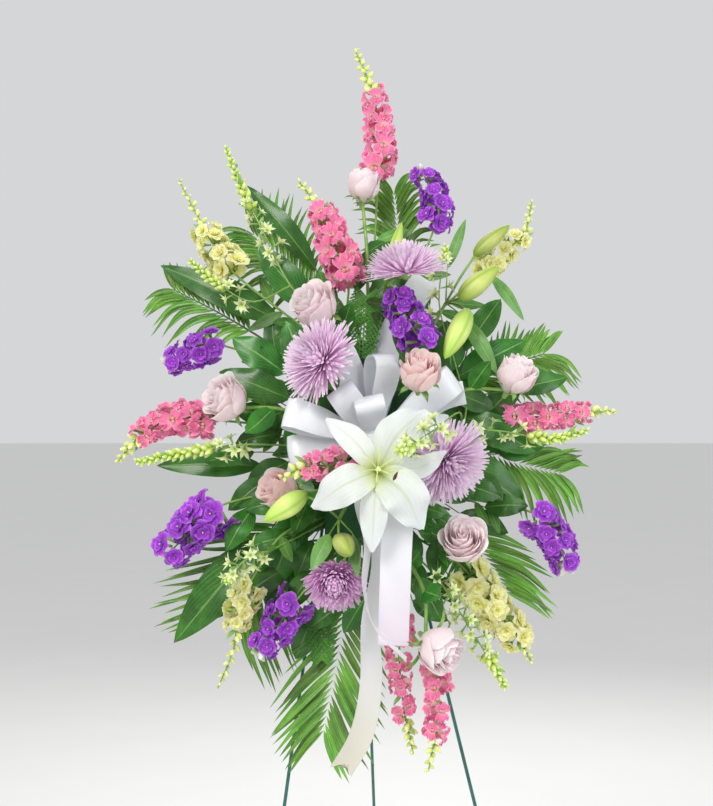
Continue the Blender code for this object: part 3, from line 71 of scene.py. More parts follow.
# The viewing place, the leaning plane and the foam, as in the part.
VIEW_HEIGHT = 1.11
EYE = Vector((0.0, -2.30, VIEW_HEIGHT))
LEAN = math.radians(12.0)
FRONT_FEET_Y = -0.2136
FORWARD = Vector((0.0, -math.cos(LEAN), math.sin(LEAN)))
UPWARD = Vector((0.0, math.sin(LEAN), math.cos(LEAN)))
RIGHT = Vector((1.0, 0.0, 0.0))
WIRE = 0.0025
THIN_WIRE = 0.0020
APEX_HEIGHT = 1.235
APEX_X = -0.005
LEFT_FOOT_X = -0.175
RIGHT_FOOT_X = 0.300
HINGE_X = 0.002
HINGE_HEIGHT = 1.150
WIRE_SEAT = WIRE + THIN_WIRE + GAP
FOAM_WIDTH = 0.125
FOAM_LENGTH = 0.285
FOAM_BACK = WIRE + 2.0 * THIN_WIRE + 2.0 * GAP + 0.002 + GAP
FOAM_FRONT = 0.100
FOAM_MIDDLE = 0.5 * (FOAM_BACK + FOAM_FRONT)
FOAM_X = 0.018
FOAM_UP = 1.062
STEM_HOLE_DEPTH = 0.026
STEM_STRAIGHT = 0.012

# Turns between neighbours: even ones round a flower, and the one that spreads leaves on a stem.
FIFTH_TURN = 1.257
SIXTH_TURN = 1.047
THIRD_TURN = 2.1
GOLDEN_TURN = 2.39996

# Numbers of the finishes on a flower spike. Its middles and most buds share one.
PETAL, MIDDLE, CALYX, STEM, TUBE, PALE_BUD = range(6)

FROND_START = 0.12
RIBBON_WIDTH = 0.042
RIBBON_COLUMNS = 8
STREAMER_NOTCH = 0.014
PHOTO_HEIGHT = 806 * 0.0015
SENSOR = 36.0
FLOOR_HALF = 40.0


# Places and paths, as in the part.


def plane_point(x, up, out):
    """The point at x, at a height along the leaning plane, and out in front of it, in metres."""
    return Vector((x, FRONT_FEET_Y, 0.0)) + UPWARD * up + FORWARD * out


def spot(across, up, out):
    """The point that the viewer sees at (across, up), out centimetres in front of the easel."""
    ray = Vector((across * CM, 0.0, VIEW_HEIGHT + up * CM)) - EYE
    start = plane_point(0.0, 0.0, out * CM)
    return EYE + ray * (FORWARD.dot(start - EYE) / FORWARD.dot(ray))


def spots(rows):
    return [spot(*row) for row in rows]


def facing(right, up, out):
    """The direction with these shares to the right, up the leaning plane and out of it."""
    return (RIGHT * right + UPWARD * up + FORWARD * out).normalized()


def smooth(points, steps):
    """Points along a smooth curve through the given ones, steps to each span."""
    if len(points) < 3 or steps < 2:
        return list(points)
    ends = [points[0] * 2 - points[1]] + list(points) + [points[-1] * 2 - points[-2]]
    found = []
    for i in range(1, len(ends) - 2):
        before, a, b, after = ends[i - 1 : i + 3]
        for step in range(steps):
            t = step / steps
            made = 2 * a + (b - before) * t + (2 * before - 5 * a + 4 * b - after) * t * t
            found.append(0.5 * (made + (3 * a - before - 3 * b + after) * t * t * t))
    found.append(points[-1].copy())
    return found


def lengths_of(points):
    return [(b - a).length for a, b in zip(points, points[1:])]


def along(points, share):
    """The point and the direction at a share of the way along the points."""
    lengths = lengths_of(points)
    left = max(0.0, min(1.0, share)) * sum(lengths)
    for i, length in enumerate(lengths):
        if left <= length or i == len(lengths) - 1:
            direction = (points[i + 1] - points[i]).normalized()
            return points[i] + direction * left, direction
        left -= length


def frame_on(axis, turn=0.0):
    """Two directions square to the axis, turned round it."""
    side = axis.cross(Vector((0.13, 0.31, 0.94)))
    if side.length < 0.2:
        side = axis.cross(Vector((1.0, 0.2, 0.0)))
    side.normalize()
    other = axis.cross(side).normalized()
    c, s = math.cos(turn), math.sin(turn)
    return side * c + other * s, other * c - side * s


def leg_x(foot_x, top_x, height):
    return foot_x + (top_x - foot_x) * height / APEX_HEIGHT


def frame_shift():
    """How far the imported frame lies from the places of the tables, read from its hinge wire."""
    centre = plane_point(HINGE_X, HINGE_HEIGHT / math.cos(LEAN), -WIRE_SEAT)
    left = leg_x(LEFT_FOOT_X, APEX_X - 0.004, HINGE_HEIGHT) - 0.008
    right = leg_x(RIGHT_FOOT_X, APEX_X + 0.004, HINGE_HEIGHT) + 0.008
    centre.x = 0.5 * (left + right)
    low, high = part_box("easel_hinge_wire")
    return 0.5 * (low + high) - centre


def foam_heart(target, share):
    """The place inside the foam that a stem points away from."""
    height = (target - Vector((0.0, FRONT_FEET_Y, 0.0))).dot(UPWARD)
    height = FOAM_UP + share * (height - FOAM_UP)
    half = 0.36 * FOAM_LENGTH
    return plane_point(FOAM_X, max(FOAM_UP - half, min(FOAM_UP + half, height)), FOAM_MIDDLE - 0.012)


def foam_exit(heart, direction):
    """How far the direction runs from the heart to the foam's surface."""
    centre = plane_point(FOAM_X, FOAM_UP, FOAM_MIDDLE)
    halves = (0.5 * FOAM_WIDTH, 0.5 * FOAM_LENGTH, 0.5 * (FOAM_FRONT - FOAM_BACK))
    reaches = []
    for axis, half in zip((RIGHT, UPWARD, FORWARD), halves):
        speed = direction.dot(axis)
        if abs(speed) > 0.001:
            reaches.append((math.copysign(half, speed) - (heart - centre).dot(axis)) / speed)
    return min(reaches)


def stem_to(name, target, share=0.55):
    """Points of a stem from its own hole in the foam to the target, past its via places."""
    via = spots(STEM_VIAS.get(name, ()))
    first = via[0] if via else target
    shift = STEM_SHIFTS.get(name, (0.0, 0.0, 0.0))
    start = foam_heart(first, share) + RIGHT * (shift[0] * CM)
    start += UPWARD * (shift[1] * CM) + FORWARD * (shift[2] * CM)
    direction = (first - start).normalized()
    leaving = start + direction * foam_exit(start, direction)
    square = max(abs(direction.dot(axis)) for axis in (RIGHT, UPWARD, FORWARD))
    bottom = leaving - direction * (STEM_HOLE_DEPTH / max(0.45, square))
    return [bottom, leaving + direction * STEM_STRAIGHT] + via + [target]


# Patches of faces, and the heaps that they are gathered in.


def patch(columns, rows, place, closed=False, stretch=1.0):
    """Points, faces and corner coordinates of a sheet. place takes arrays of across and along."""
    kept = columns if closed else columns + 1
    across = np.linspace(-1.0, 1.0, columns + 1)[:kept]
    points = place(*np.meshgrid(across, np.linspace(0.0, 1.0, rows + 1)))
    if isinstance(points, tuple):
        points = np.stack(np.broadcast_arrays(*points), axis=-1)
    column, row = (index.ravel() for index in np.meshgrid(np.arange(columns), np.arange(rows)))
    after = (column + 1) % kept
    low = row * kept
    high = low + kept
    faces = np.stack([low + column, low + after, high + after, high + column], axis=-1)
    left, right = column / columns, (column + 1) / columns
    start, end = row / rows * stretch, (row + 1) / rows * stretch
    coords = np.stack([left, start, right, start, right, end, left, end], axis=-1)
    return points.reshape(-1, 3), faces, coords.reshape(-1, 4, 2)


class Heap:
    """Faces of one piece, each with petal coordinates, a shade and the number of its finish."""

    def __init__(self):
        self.parts = [[], [], [], [], []]
        self.count = 0

    def take(self, points, faces, coords, shades, kinds):
        for kept, part in zip(self.parts, (points, faces + self.count, coords, shades, kinds)):
            kept.append(part)
        self.count += len(points)

    def add(self, made, kind=0, shade=0.5, axes=None, origin=None):
        """A patch, with its own axes as rows and its own origin."""
        points, faces, coords = made
        if axes is not None:
            points = points @ np.asarray(axes, float)
        if origin is not None:
            points = points + np.asarray(origin, float)
        self.take(points, faces, coords, np.full(len(points), shade), np.full(len(faces), kind))

    def put(self, other, axes, origin, size, shade):
        """Another heap, with its own axes as rows, its size and a change of shade."""
        points, faces, coords, shades, kinds = (np.concatenate(part) for part in other.parts)
        points = (points * size) @ np.asarray(axes, float) + np.asarray(origin, float)
        self.take(points, faces, coords, np.clip(shades + shade - 0.5, 0.0, 1.0), kinds)

    def mesh(self, name):
        points, faces, coords, shades, kinds = (np.concatenate(part) for part in self.parts)
        points = points + np.asarray(SHIFT)
        corners = 4 * len(faces)
        mesh = bpy.data.meshes.new(name)
        mesh.vertices.add(len(points))
        mesh.vertices.foreach_set("co", points.astype(np.float32).ravel())
        mesh.loops.add(corners)
        mesh.loops.foreach_set("vertex_index", faces.astype(np.int32).ravel())
        mesh.polygons.add(len(faces))
        mesh.polygons.foreach_set("loop_start", np.arange(0, corners, 4, dtype=np.int32))
        mesh.update(calc_edges=True)
        mesh.polygons.foreach_set("material_index", kinds.astype(np.int32))
        layer = mesh.uv_layers.new(name="petal")
        layer.data.foreach_set("uv", coords.astype(np.float32).ravel())
        shade = mesh.attributes.new("shade", "FLOAT", "POINT")
        shade.data.foreach_set("value", shades.astype(np.float32))
        mesh.validate()
        mesh.shade_smooth()
        return mesh


def linked(name, data):
    made = bpy.data.objects.new(name, data)
    bpy.context.scene.collection.objects.link(made)
    return made


def piece(name, heap, finishes, node=None, slot=None):
    """The heap as a shown piece that rides on the stand and stands for the node.

    finishes are keys of FINISH_ROWS, in the order of the heap's numbers.
    """
    made = linked(name, heap.mesh(name))
    for finish in finishes:
        made.data.materials.append(FINISH[finish])
    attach(made, "stand")
    if node:
        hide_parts(node)
    return made


def axes_on(axis, up):
    """Rows of local axes: Z along the axis and Y as near to up as it can be."""
    axis = axis.normalized()
    upward = up - axis * up.dot(axis)
    if upward.length < 0.001:
        upward = frame_on(axis)[0]
    upward.normalize()
    return [list(upward.cross(axis)), list(upward), list(axis)]


def stacked(frames):
    """The columns of a list of vector rows, as arrays that spread over a patch."""
    return [np.array(part)[:, None] for part in zip(*frames)]


def ease(share):
    return np.sin(0.5 * PI * np.clip(share, 0.0, 1.0))


def late(share, start):
    """From 0 at the start to 1 at the end of the way."""
    return np.clip((share - start) / (1.0 - start), 0.0, 1.0)


def rod(heap, points, radius, kind, tip=None, sides=7, steps=5):
    """A round stem along the points, tapering to the tip's radius."""
    line = smooth(points, steps)
    tip = radius if tip is None else tip
    last = len(line) - 1
    side = None
    frames = []
    for i, here in enumerate(line):
        heading = (line[min(i + 1, last)] - line[max(i - 1, 0)]).normalized()
        side = frame_on(heading)[0] if side is None else side - heading * side.dot(heading)
        side.normalize()
        frames.append((here, side.copy(), heading.cross(side)))
    middle, first, second = stacked(frames)

    def place(u, v):
        reach = (radius + (tip - radius) * v)[..., None]
        angle = (PI * u)[..., None]
        return middle + (first * np.cos(angle) + second * np.sin(angle)) * reach

    heap.add(patch(sides, last, place, closed=True), kind)


LEAF_FORM = {
    "fold": 0.18,
    "crown": 0.0,
    "widest": 0.42,
    "sharp": 0.85,
    "neck": 0.0,
    "ripple": 0.0,
    "waves": 3.0,
    "phase": 0.0,
}


def blade(heap, path, width, shade, kind=0, columns=4, rows=12, **form):
    """A leaf or tepal along the path, creased along its midrib, that faces the front.

    form may give what LEAF_FORM holds: the crease, the arch across, where it is widest, how
    slender it is, its least width, and the ripple of its edge with its waves and phase.
    """
    fold, crown, widest, sharp, neck, ripple, waves, phase = {**LEAF_FORM, **form}.values()
    line = smooth(path, 5)
    frames = []
    for i in range(rows + 1):
        ahead = along(line, min(1.0, i / rows + 0.04))[0]
        behind = along(line, max(0.0, i / rows - 0.04))[0]
        heading = (ahead - behind).normalized()
        across = heading.cross(FORWARD).normalized()
        frames.append((along(line, i / rows)[0], across, across.cross(heading).normalized()))
    middle, across, front = stacked(frames)

    def place(u, v):
        swell = np.minimum(ease(v / widest), np.cos(0.5 * PI * late(v, widest))) ** sharp
        half = 0.5 * width * np.maximum(neck, swell)
        edge = np.abs(u)
        lift = fold * half * edge - crown * half * edge * edge
        lift = lift + ripple * width * edge**2 * np.sin(2.0 * PI * waves * v + phase + 1.4 * u)
        return middle + across * (u * half)[..., None] + front * lift[..., None]

    heap.add(patch(columns, rows, place), kind, shade)


def petal(length, width, rise, end, cup=0.2, ruffle=0.0, waves=3.0, phase=0.0, **form):
    """A petal out along +Y whose slope turns from rise to end, in radians, with a rounded rim.

    form: columns, rows, base (its width at the root), widest and taper.
    """
    widest = form.get("widest", 0.65)
    base = form.get("base", 0.3)
    taper = form.get("taper", 0.25)
    bend = end - rise if abs(end - rise) > 0.01 else 0.01

    def place(u, v):
        slope = rise + bend * v
        out = length * (np.sin(slope) - math.sin(rise)) / bend
        up = -length * (np.cos(slope) - math.cos(rise)) / bend
        half = 0.5 * width * (base + (1.0 - base) * ease(v / widest)) * (1.0 - taper * late(v, widest) ** 2)
        lift = cup * half * u * u + ruffle * length * v * v * np.sin(waves * 2.0 * u + phase)
        back = 0.22 * length * u * u * v * v
        out = out - np.sin(slope) * lift - np.cos(slope) * back
        return u * half, out, up + np.cos(slope) * lift - np.sin(slope) * back

    return patch(form.get("columns", 4), form.get("rows", 4), place)


def turned(made, angle, lift=0.0, tilt=0.0, start=0.0):
    """The patch moved out by start, tilted about X, turned about Z and lifted."""
    points, faces, coords = made
    points = points + np.array([0.0, start, 0.0])
    c, s = math.cos(tilt), math.sin(tilt)
    points = points @ np.array([[1, 0, 0], [0, c, s], [0, -s, c]])
    c, s = math.cos(angle), math.sin(angle)
    points = points @ np.array([[c, s, 0], [-s, c, 0], [0, 0, 1]])
    return points + np.array([0.0, 0.0, lift]), faces, coords


def round_patch(columns, rows, ring, level):
    """A closed patch round +Z. ring gives its radius and level its height, from the way along."""

    def place(u, v):
        return ring(v) * np.cos(PI * u), ring(v) * np.sin(PI * u), level(v)

    return patch(columns, rows, place, closed=True)


def egg(length, width, columns=6, rows=5):
    """A bud along +Z, fattest near its middle."""

    def ring(v):
        return 0.5 * width * np.sin(PI * v**0.85) ** 0.75 * (1.0 - 0.15 * v)

    return round_patch(columns, rows, ring, lambda v: length * v)


def funnel(low, high, start, end, columns, rows):
    """A flaring tube along +Z, from one radius to another."""

    def ring(v):
        return low + (high - low) * v**1.4

    return round_patch(columns, rows, ring, lambda v: start + (end - start) * v)


# Finishes.


def rgb(code):
    """A linear colour from a code such as F0D0D5."""
    values = [int(code[i : i + 2], 16) / 255 for i in (0, 2, 4)]
    return tuple(v / 12.92 if v <= 0.04045 else ((v + 0.055) / 1.055) ** 2.4 for v in values)


class Nodes:
    """A material's node tree, with short calls to add nodes and sums."""

    def __init__(self, name):
        self.made = bpy.data.materials.new(name)
        self.made.use_nodes = True
        self.tree = self.made.node_tree
        self.shader = self.tree.nodes["Principled BSDF"]
        self.output = self.tree.nodes["Material Output"]

    def feed(self, socket, value):
        if isinstance(value, bpy.types.NodeSocket):
            self.tree.links.new(value, socket)
        else:
            if isinstance(value, str):
                value = (*rgb(value), 1.0)
            socket.default_value = value

    def add(self, kind, settings=(), **inputs):
        made = self.tree.nodes.new(kind)
        for key, value in dict(settings).items():
            setattr(made, key, value)
        for key, value in inputs.items():
            self.feed(made.inputs[key.replace("_", " ")], value)
        return made

    def sum(self, operation, *values, clamp=False):
        made = self.add("ShaderNodeMath", {"operation": operation, "use_clamp": clamp})
        for socket, value in zip(made.inputs, values):
            self.feed(socket, value)
        return made.outputs[0]

    def times(self, value, factor, clamp=False):
        return self.sum("MULTIPLY", value, factor, clamp=clamp)

    def line(self, value, slope, level, clamp=False):
        """The value times the slope, plus the level."""
        return self.sum("MULTIPLY_ADD", value, slope, level, clamp=clamp)

    def less(self, value, taken):
        return self.sum("SUBTRACT", value, taken)

    def side(self, across):
        """How far from the middle of the petal, at most a half."""
        return self.sum("ABSOLUTE", self.less(across, 0.5))

    def ramp(self, factor, stops):
        made = self.add("ShaderNodeValToRGB", Fac=factor)
        band = made.color_ramp
        while len(band.elements) < len(stops) // 2:
            band.elements.new(0.5)
        for element, position, colour in zip(band.elements, stops[::2], stops[1::2]):
            element.position = position
            element.color = (*rgb(colour), 1.0)
        return made.outputs["Color"]

    def mix(self, factor, first, second, kind="MIX"):
        made = self.add("ShaderNodeMix", {"data_type": "RGBA", "blend_type": kind})
        for place, value in ((0, factor), (6, first), (7, second)):
            self.feed(made.inputs[place], value)
        return made.outputs[2]

    def coords(self):
        """Where on the petal, then its across and its along as two values."""
        place = self.add("ShaderNodeUVMap", {"uv_map": "petal"}).outputs[0]
        split = self.add("ShaderNodeSeparateXYZ", Vector=place)
        return place, split.outputs[0], split.outputs[1]

    def where(self):
        return self.add("ShaderNodeTexCoord").outputs["Object"]

    def noise(self, scale, vector=None):
        made = self.add("ShaderNodeTexNoise", Scale=scale, Detail=3.0, Roughness=0.6)
        self.feed(made.inputs["Vector"], self.where() if vector is None else vector)
        return made.outputs[0]

    def bump(self, height, strength, distance):
        made = self.add("ShaderNodeBump", Strength=strength, Distance=distance, Height=height)
        self.set(Normal=made.outputs[0])
        return made.outputs[0]

    def set(self, **values):
        for key, value in values.items():
            self.feed(self.shader.inputs[key.replace("_", " ")], value)

    def varied(self, colour, hue, value, mottle, scale):
        """The colour with each petal's own shade and a soft mottling."""
        shade = self.add("ShaderNodeAttribute", {"attribute_name": "shade"}).outputs["Fac"]
        shade = self.less(shade, 0.5)
        light = self.line(self.less(self.noise(scale), 0.5), mottle, 1.0)
        light = self.line(shade, value, light)
        hue = self.line(shade, hue, 0.5)
        return self.add("ShaderNodeHueSaturation", Hue=hue, Value=light, Color=colour).outputs[0]

    def glow(self, colour, share, normal):
        """Light that comes through a thin petal or leaf."""
        through = self.add("ShaderNodeBsdfTranslucent", Color=colour, Normal=normal)
        both = self.add("ShaderNodeMixShader")
        for socket, value in zip(both.inputs, (share, self.shader.outputs[0], through.outputs[0])):
            self.feed(socket, value)
        self.feed(self.output.inputs["Surface"], both.outputs[0])


def petal_finish(name, stops, rim=None, rib=None, veins=14.0, **look):
    """A petal: colours from its base to its tip, a rim tint, fine veins and a soft sheen."""
    nodes = Nodes(name)
    place, across, level = nodes.coords()
    colour = nodes.ramp(level, stops)
    wander = nodes.noise(9.0, place)
    ridge = nodes.sum("SINE", nodes.line(wander, 4.0, nodes.times(across, veins * 2.0 * PI)))
    if rim:
        tip = nodes.times(nodes.less(level, 0.80), 5.0, clamp=True)
        edge = nodes.times(nodes.less(nodes.side(across), 0.38), 6.0, clamp=True)
        edge = nodes.times(nodes.sum("MAXIMUM", tip, edge), look.get("rim_share", 0.6))
        colour = nodes.mix(edge, colour, rim)
    colour = nodes.mix(1.0, colour, nodes.line(ridge, look.get("vein_tone", 0.03), 0.97), "MULTIPLY")
    if rib:
        groove = nodes.line(nodes.side(across), -16.0, 1.0, clamp=True)
        colour = nodes.mix(nodes.times(groove, nodes.line(level, -0.62, 0.70)), colour, rib)
        ridge = nodes.line(groove, -5.0, ridge)
    value = look.get("value", 0.25)
    colour = nodes.varied(colour, look.get("hue", 0.02), value, look.get("mottle", 0.12), 90.0)
    normal = nodes.bump(ridge, look.get("bump", 0.25), 0.0006)
    nodes.set(Base_Color=colour, Roughness=nodes.line(wander, 0.15, look.get("roughness", 0.5)))
    nodes.set(Sheen_Weight=0.25, Sheen_Roughness=0.4, Specular_IOR_Level=0.3)
    if "flesh" in look:
        nodes.set(Subsurface_Weight=look["flesh"], Subsurface_Radius=(0.012, 0.008, 0.008))
        nodes.set(Subsurface_Scale=1.0)
    nodes.glow(colour, look.get("through", 0.22), normal)
    return nodes.made


def leaf_finish(name, dark, light, rib, veins=0.0, vein_tone=0.0, **look):
    """A leaf: a pale midrib, slanting side veins, patchy green and a waxy gloss."""
    nodes = Nodes(name)
    place, across, level = nodes.coords()
    side = nodes.side(across)
    scale = look.get("scale", 35.0)
    patches = nodes.noise(scale)
    colour = nodes.mix(nodes.line(patches, 2.2, -0.6, clamp=True), dark, light)
    wander = nodes.noise(6.0, place)
    wave = nodes.times(nodes.line(side, -1.3, level), veins * 2.0 * PI)
    wave = nodes.sum("SINE", nodes.line(wander, 2.0, wave))
    vein = nodes.sum("POWER", nodes.sum("MAXIMUM", wave, 0.0), 14.0)
    middle = nodes.line(side, -look.get("rib_width", 26.0), 1.0, clamp=True)
    colour = nodes.mix(nodes.times(vein, vein_tone), colour, rib)
    colour = nodes.mix(nodes.times(middle, look.get("rib_tone", 0.8)), colour, rib)
    colour = nodes.varied(colour, 0.02, look.get("value", 0.6), 0.25, scale)
    relief = nodes.line(middle, 1.5, nodes.times(vein, 0.8))
    normal = nodes.bump(nodes.line(wander, 0.5, relief), 0.35, 0.0008)
    nodes.set(Base_Color=colour, Roughness=nodes.line(patches, 0.22, look["roughness"]))
    nodes.set(Specular_IOR_Level=look.get("specular", 0.5))
    nodes.set(Coat_Weight=look.get("coat", 0.25), Coat_Roughness=0.2)
    nodes.glow(colour, 0.12, normal)
    return nodes.made


def stem_finish(name, low, high, rough=0.45):
    """A green stem with long faint ridges."""
    nodes = Nodes(name)
    across = nodes.coords()[1]
    colour = nodes.mix(nodes.line(nodes.noise(60.0), 1.8, -0.4, clamp=True), low, high)
    nodes.bump(nodes.sum("SINE", nodes.times(across, 10.0 * PI)), 0.25, 0.0004)
    nodes.set(Base_Color=nodes.varied(colour, 0.02, 0.4, 0.15, 120.0), Roughness=rough)
    return nodes.made


def bud_finish(name, base, middle, tip, groove, lobes=2.0, hue=0.03, value=0.35):
    """A bud: greener at its ends and along its grooves."""
    nodes = Nodes(name)
    across, level = nodes.coords()[1:]
    colour = nodes.ramp(level, (0.0, base, 0.5, middle, 1.0, tip))
    wave = nodes.sum("COSINE", nodes.times(across, lobes * 2.0 * PI))
    line = nodes.sum("POWER", nodes.sum("MAXIMUM", wave, 0.0), 6.0)
    colour = nodes.mix(nodes.times(line, 0.5), colour, groove)
    fine = nodes.sum("SINE", nodes.times(across, 60.0 * PI))
    nodes.bump(nodes.line(fine, 0.1, nodes.noise(200.0)), 0.15, 0.0004)
    nodes.set(Base_Color=nodes.varied(colour, hue, value, 0.15, 140.0), Roughness=0.42)
    nodes.set(Sheen_Weight=0.15, Specular_IOR_Level=0.4)
    return nodes.made


def satin_finish(name):
    """White satin ribbon: long fine threads, a soft lustre, woven edges and painted reflected colour."""
    nodes = Nodes(name)
    place, across, level = nodes.coords()
    threads = nodes.sum("SINE", nodes.times(across, 150.0 * PI))
    weft = nodes.sum("SINE", nodes.times(level, 260.0 * PI))
    soft = nodes.noise(30.0, place)
    edge = nodes.times(nodes.less(nodes.side(across), 0.47), 40.0, clamp=True)
    colour = nodes.mix(nodes.times(soft, 0.5), "F1F4F7", "E2E8EF")
    colour = nodes.mix(nodes.times(edge, 0.35), colour, "C9D0DA")
    # Painted reflected colour: each place's shade tints the white satin beige below a half and pink above.
    shade = nodes.add("ShaderNodeAttribute", {"attribute_name": "shade"}).outputs["Fac"]
    tint = nodes.ramp(shade, (0.0, "E4D6B8", 0.5, "FFFFFF", 1.0, "EFD9E4"))
    colour = nodes.mix(1.0, colour, tint, "MULTIPLY")
    normal = nodes.bump(nodes.line(edge, 1.5, nodes.line(weft, 0.4, threads)), 0.12, 0.0002)
    nodes.set(Base_Color=colour, Roughness=nodes.line(soft, 0.10, 0.20), Specular_IOR_Level=0.75)
    nodes.set(Sheen_Weight=0.25, Sheen_Roughness=0.35, Coat_Weight=0.25, Coat_Roughness=0.18)
    nodes.glow(colour, 0.28, normal)
    return nodes.made


def painted_finish(name):
    """Green enamel on wire, with fine runs and dulled patches."""
    nodes = Nodes(name)
    patches = nodes.noise(45.0)
    fine = nodes.noise(600.0)
    colour = nodes.mix(nodes.line(patches, 2.0, -0.5, clamp=True), "175248", "2C6F66")
    worn = nodes.times(nodes.less(fine, 0.68), 8.0, clamp=True)
    colour = nodes.mix(nodes.times(worn, 0.5), colour, "7E9A93")
    nodes.bump(nodes.line(fine, 0.4, patches), 0.25, 0.0004)
    nodes.set(Base_Color=colour, Roughness=nodes.line(patches, 0.25, 0.22), Metallic=0.25)
    nodes.set(Coat_Weight=0.4, Coat_Roughness=0.15)
    return nodes.made


def plastic_finish(name):
    nodes = Nodes(name)
    grain = nodes.noise(500.0)
    colour = nodes.mix(nodes.noise(18.0), "1C4426", "2A5C34")
    nodes.bump(grain, 0.2, 0.0004)
    nodes.set(Base_Color=colour, Roughness=nodes.line(grain, 0.2, 0.38))
    return nodes.made


def foam_finish(name):
    """Wet floral foam: dark green, with fine open pores."""
    nodes = Nodes(name)
    depth = nodes.add("ShaderNodeTexVoronoi", Scale=700.0, Vector=nodes.where()).outputs["Distance"]
    patches = nodes.noise(30.0)
    colour = nodes.mix(patches, "1E4A2A", "2F6B3E")
    colour = nodes.mix(nodes.times(depth, 0.5), colour, "123018")
    nodes.bump(depth, 0.6, 0.001)
    nodes.set(Base_Color=colour, Roughness=nodes.line(patches, 0.1, 0.85))
    return nodes.made


def floor_finish(name):
    nodes = Nodes(name)
    grain = nodes.noise(3.0)
    nodes.bump(nodes.noise(160.0), 0.08, 0.001)
    colour = nodes.mix(grain, "E6E6E4", "EBEBE9")
    nodes.set(Base_Color=colour, Roughness=nodes.line(grain, 0.1, 0.75))
    return nodes.made


ROSE_LOOK = {"veins": 9.0, "vein_tone": 0.010, "bump": 0.12, "flesh": 0.5, "value": 0.08, "mottle": 0.06}
LILY_LOOK = {"veins": 9.0, "vein_tone": 0.008, "bump": 0.22, "hue": 0.0, "value": 0.10, "mottle": 0.05}

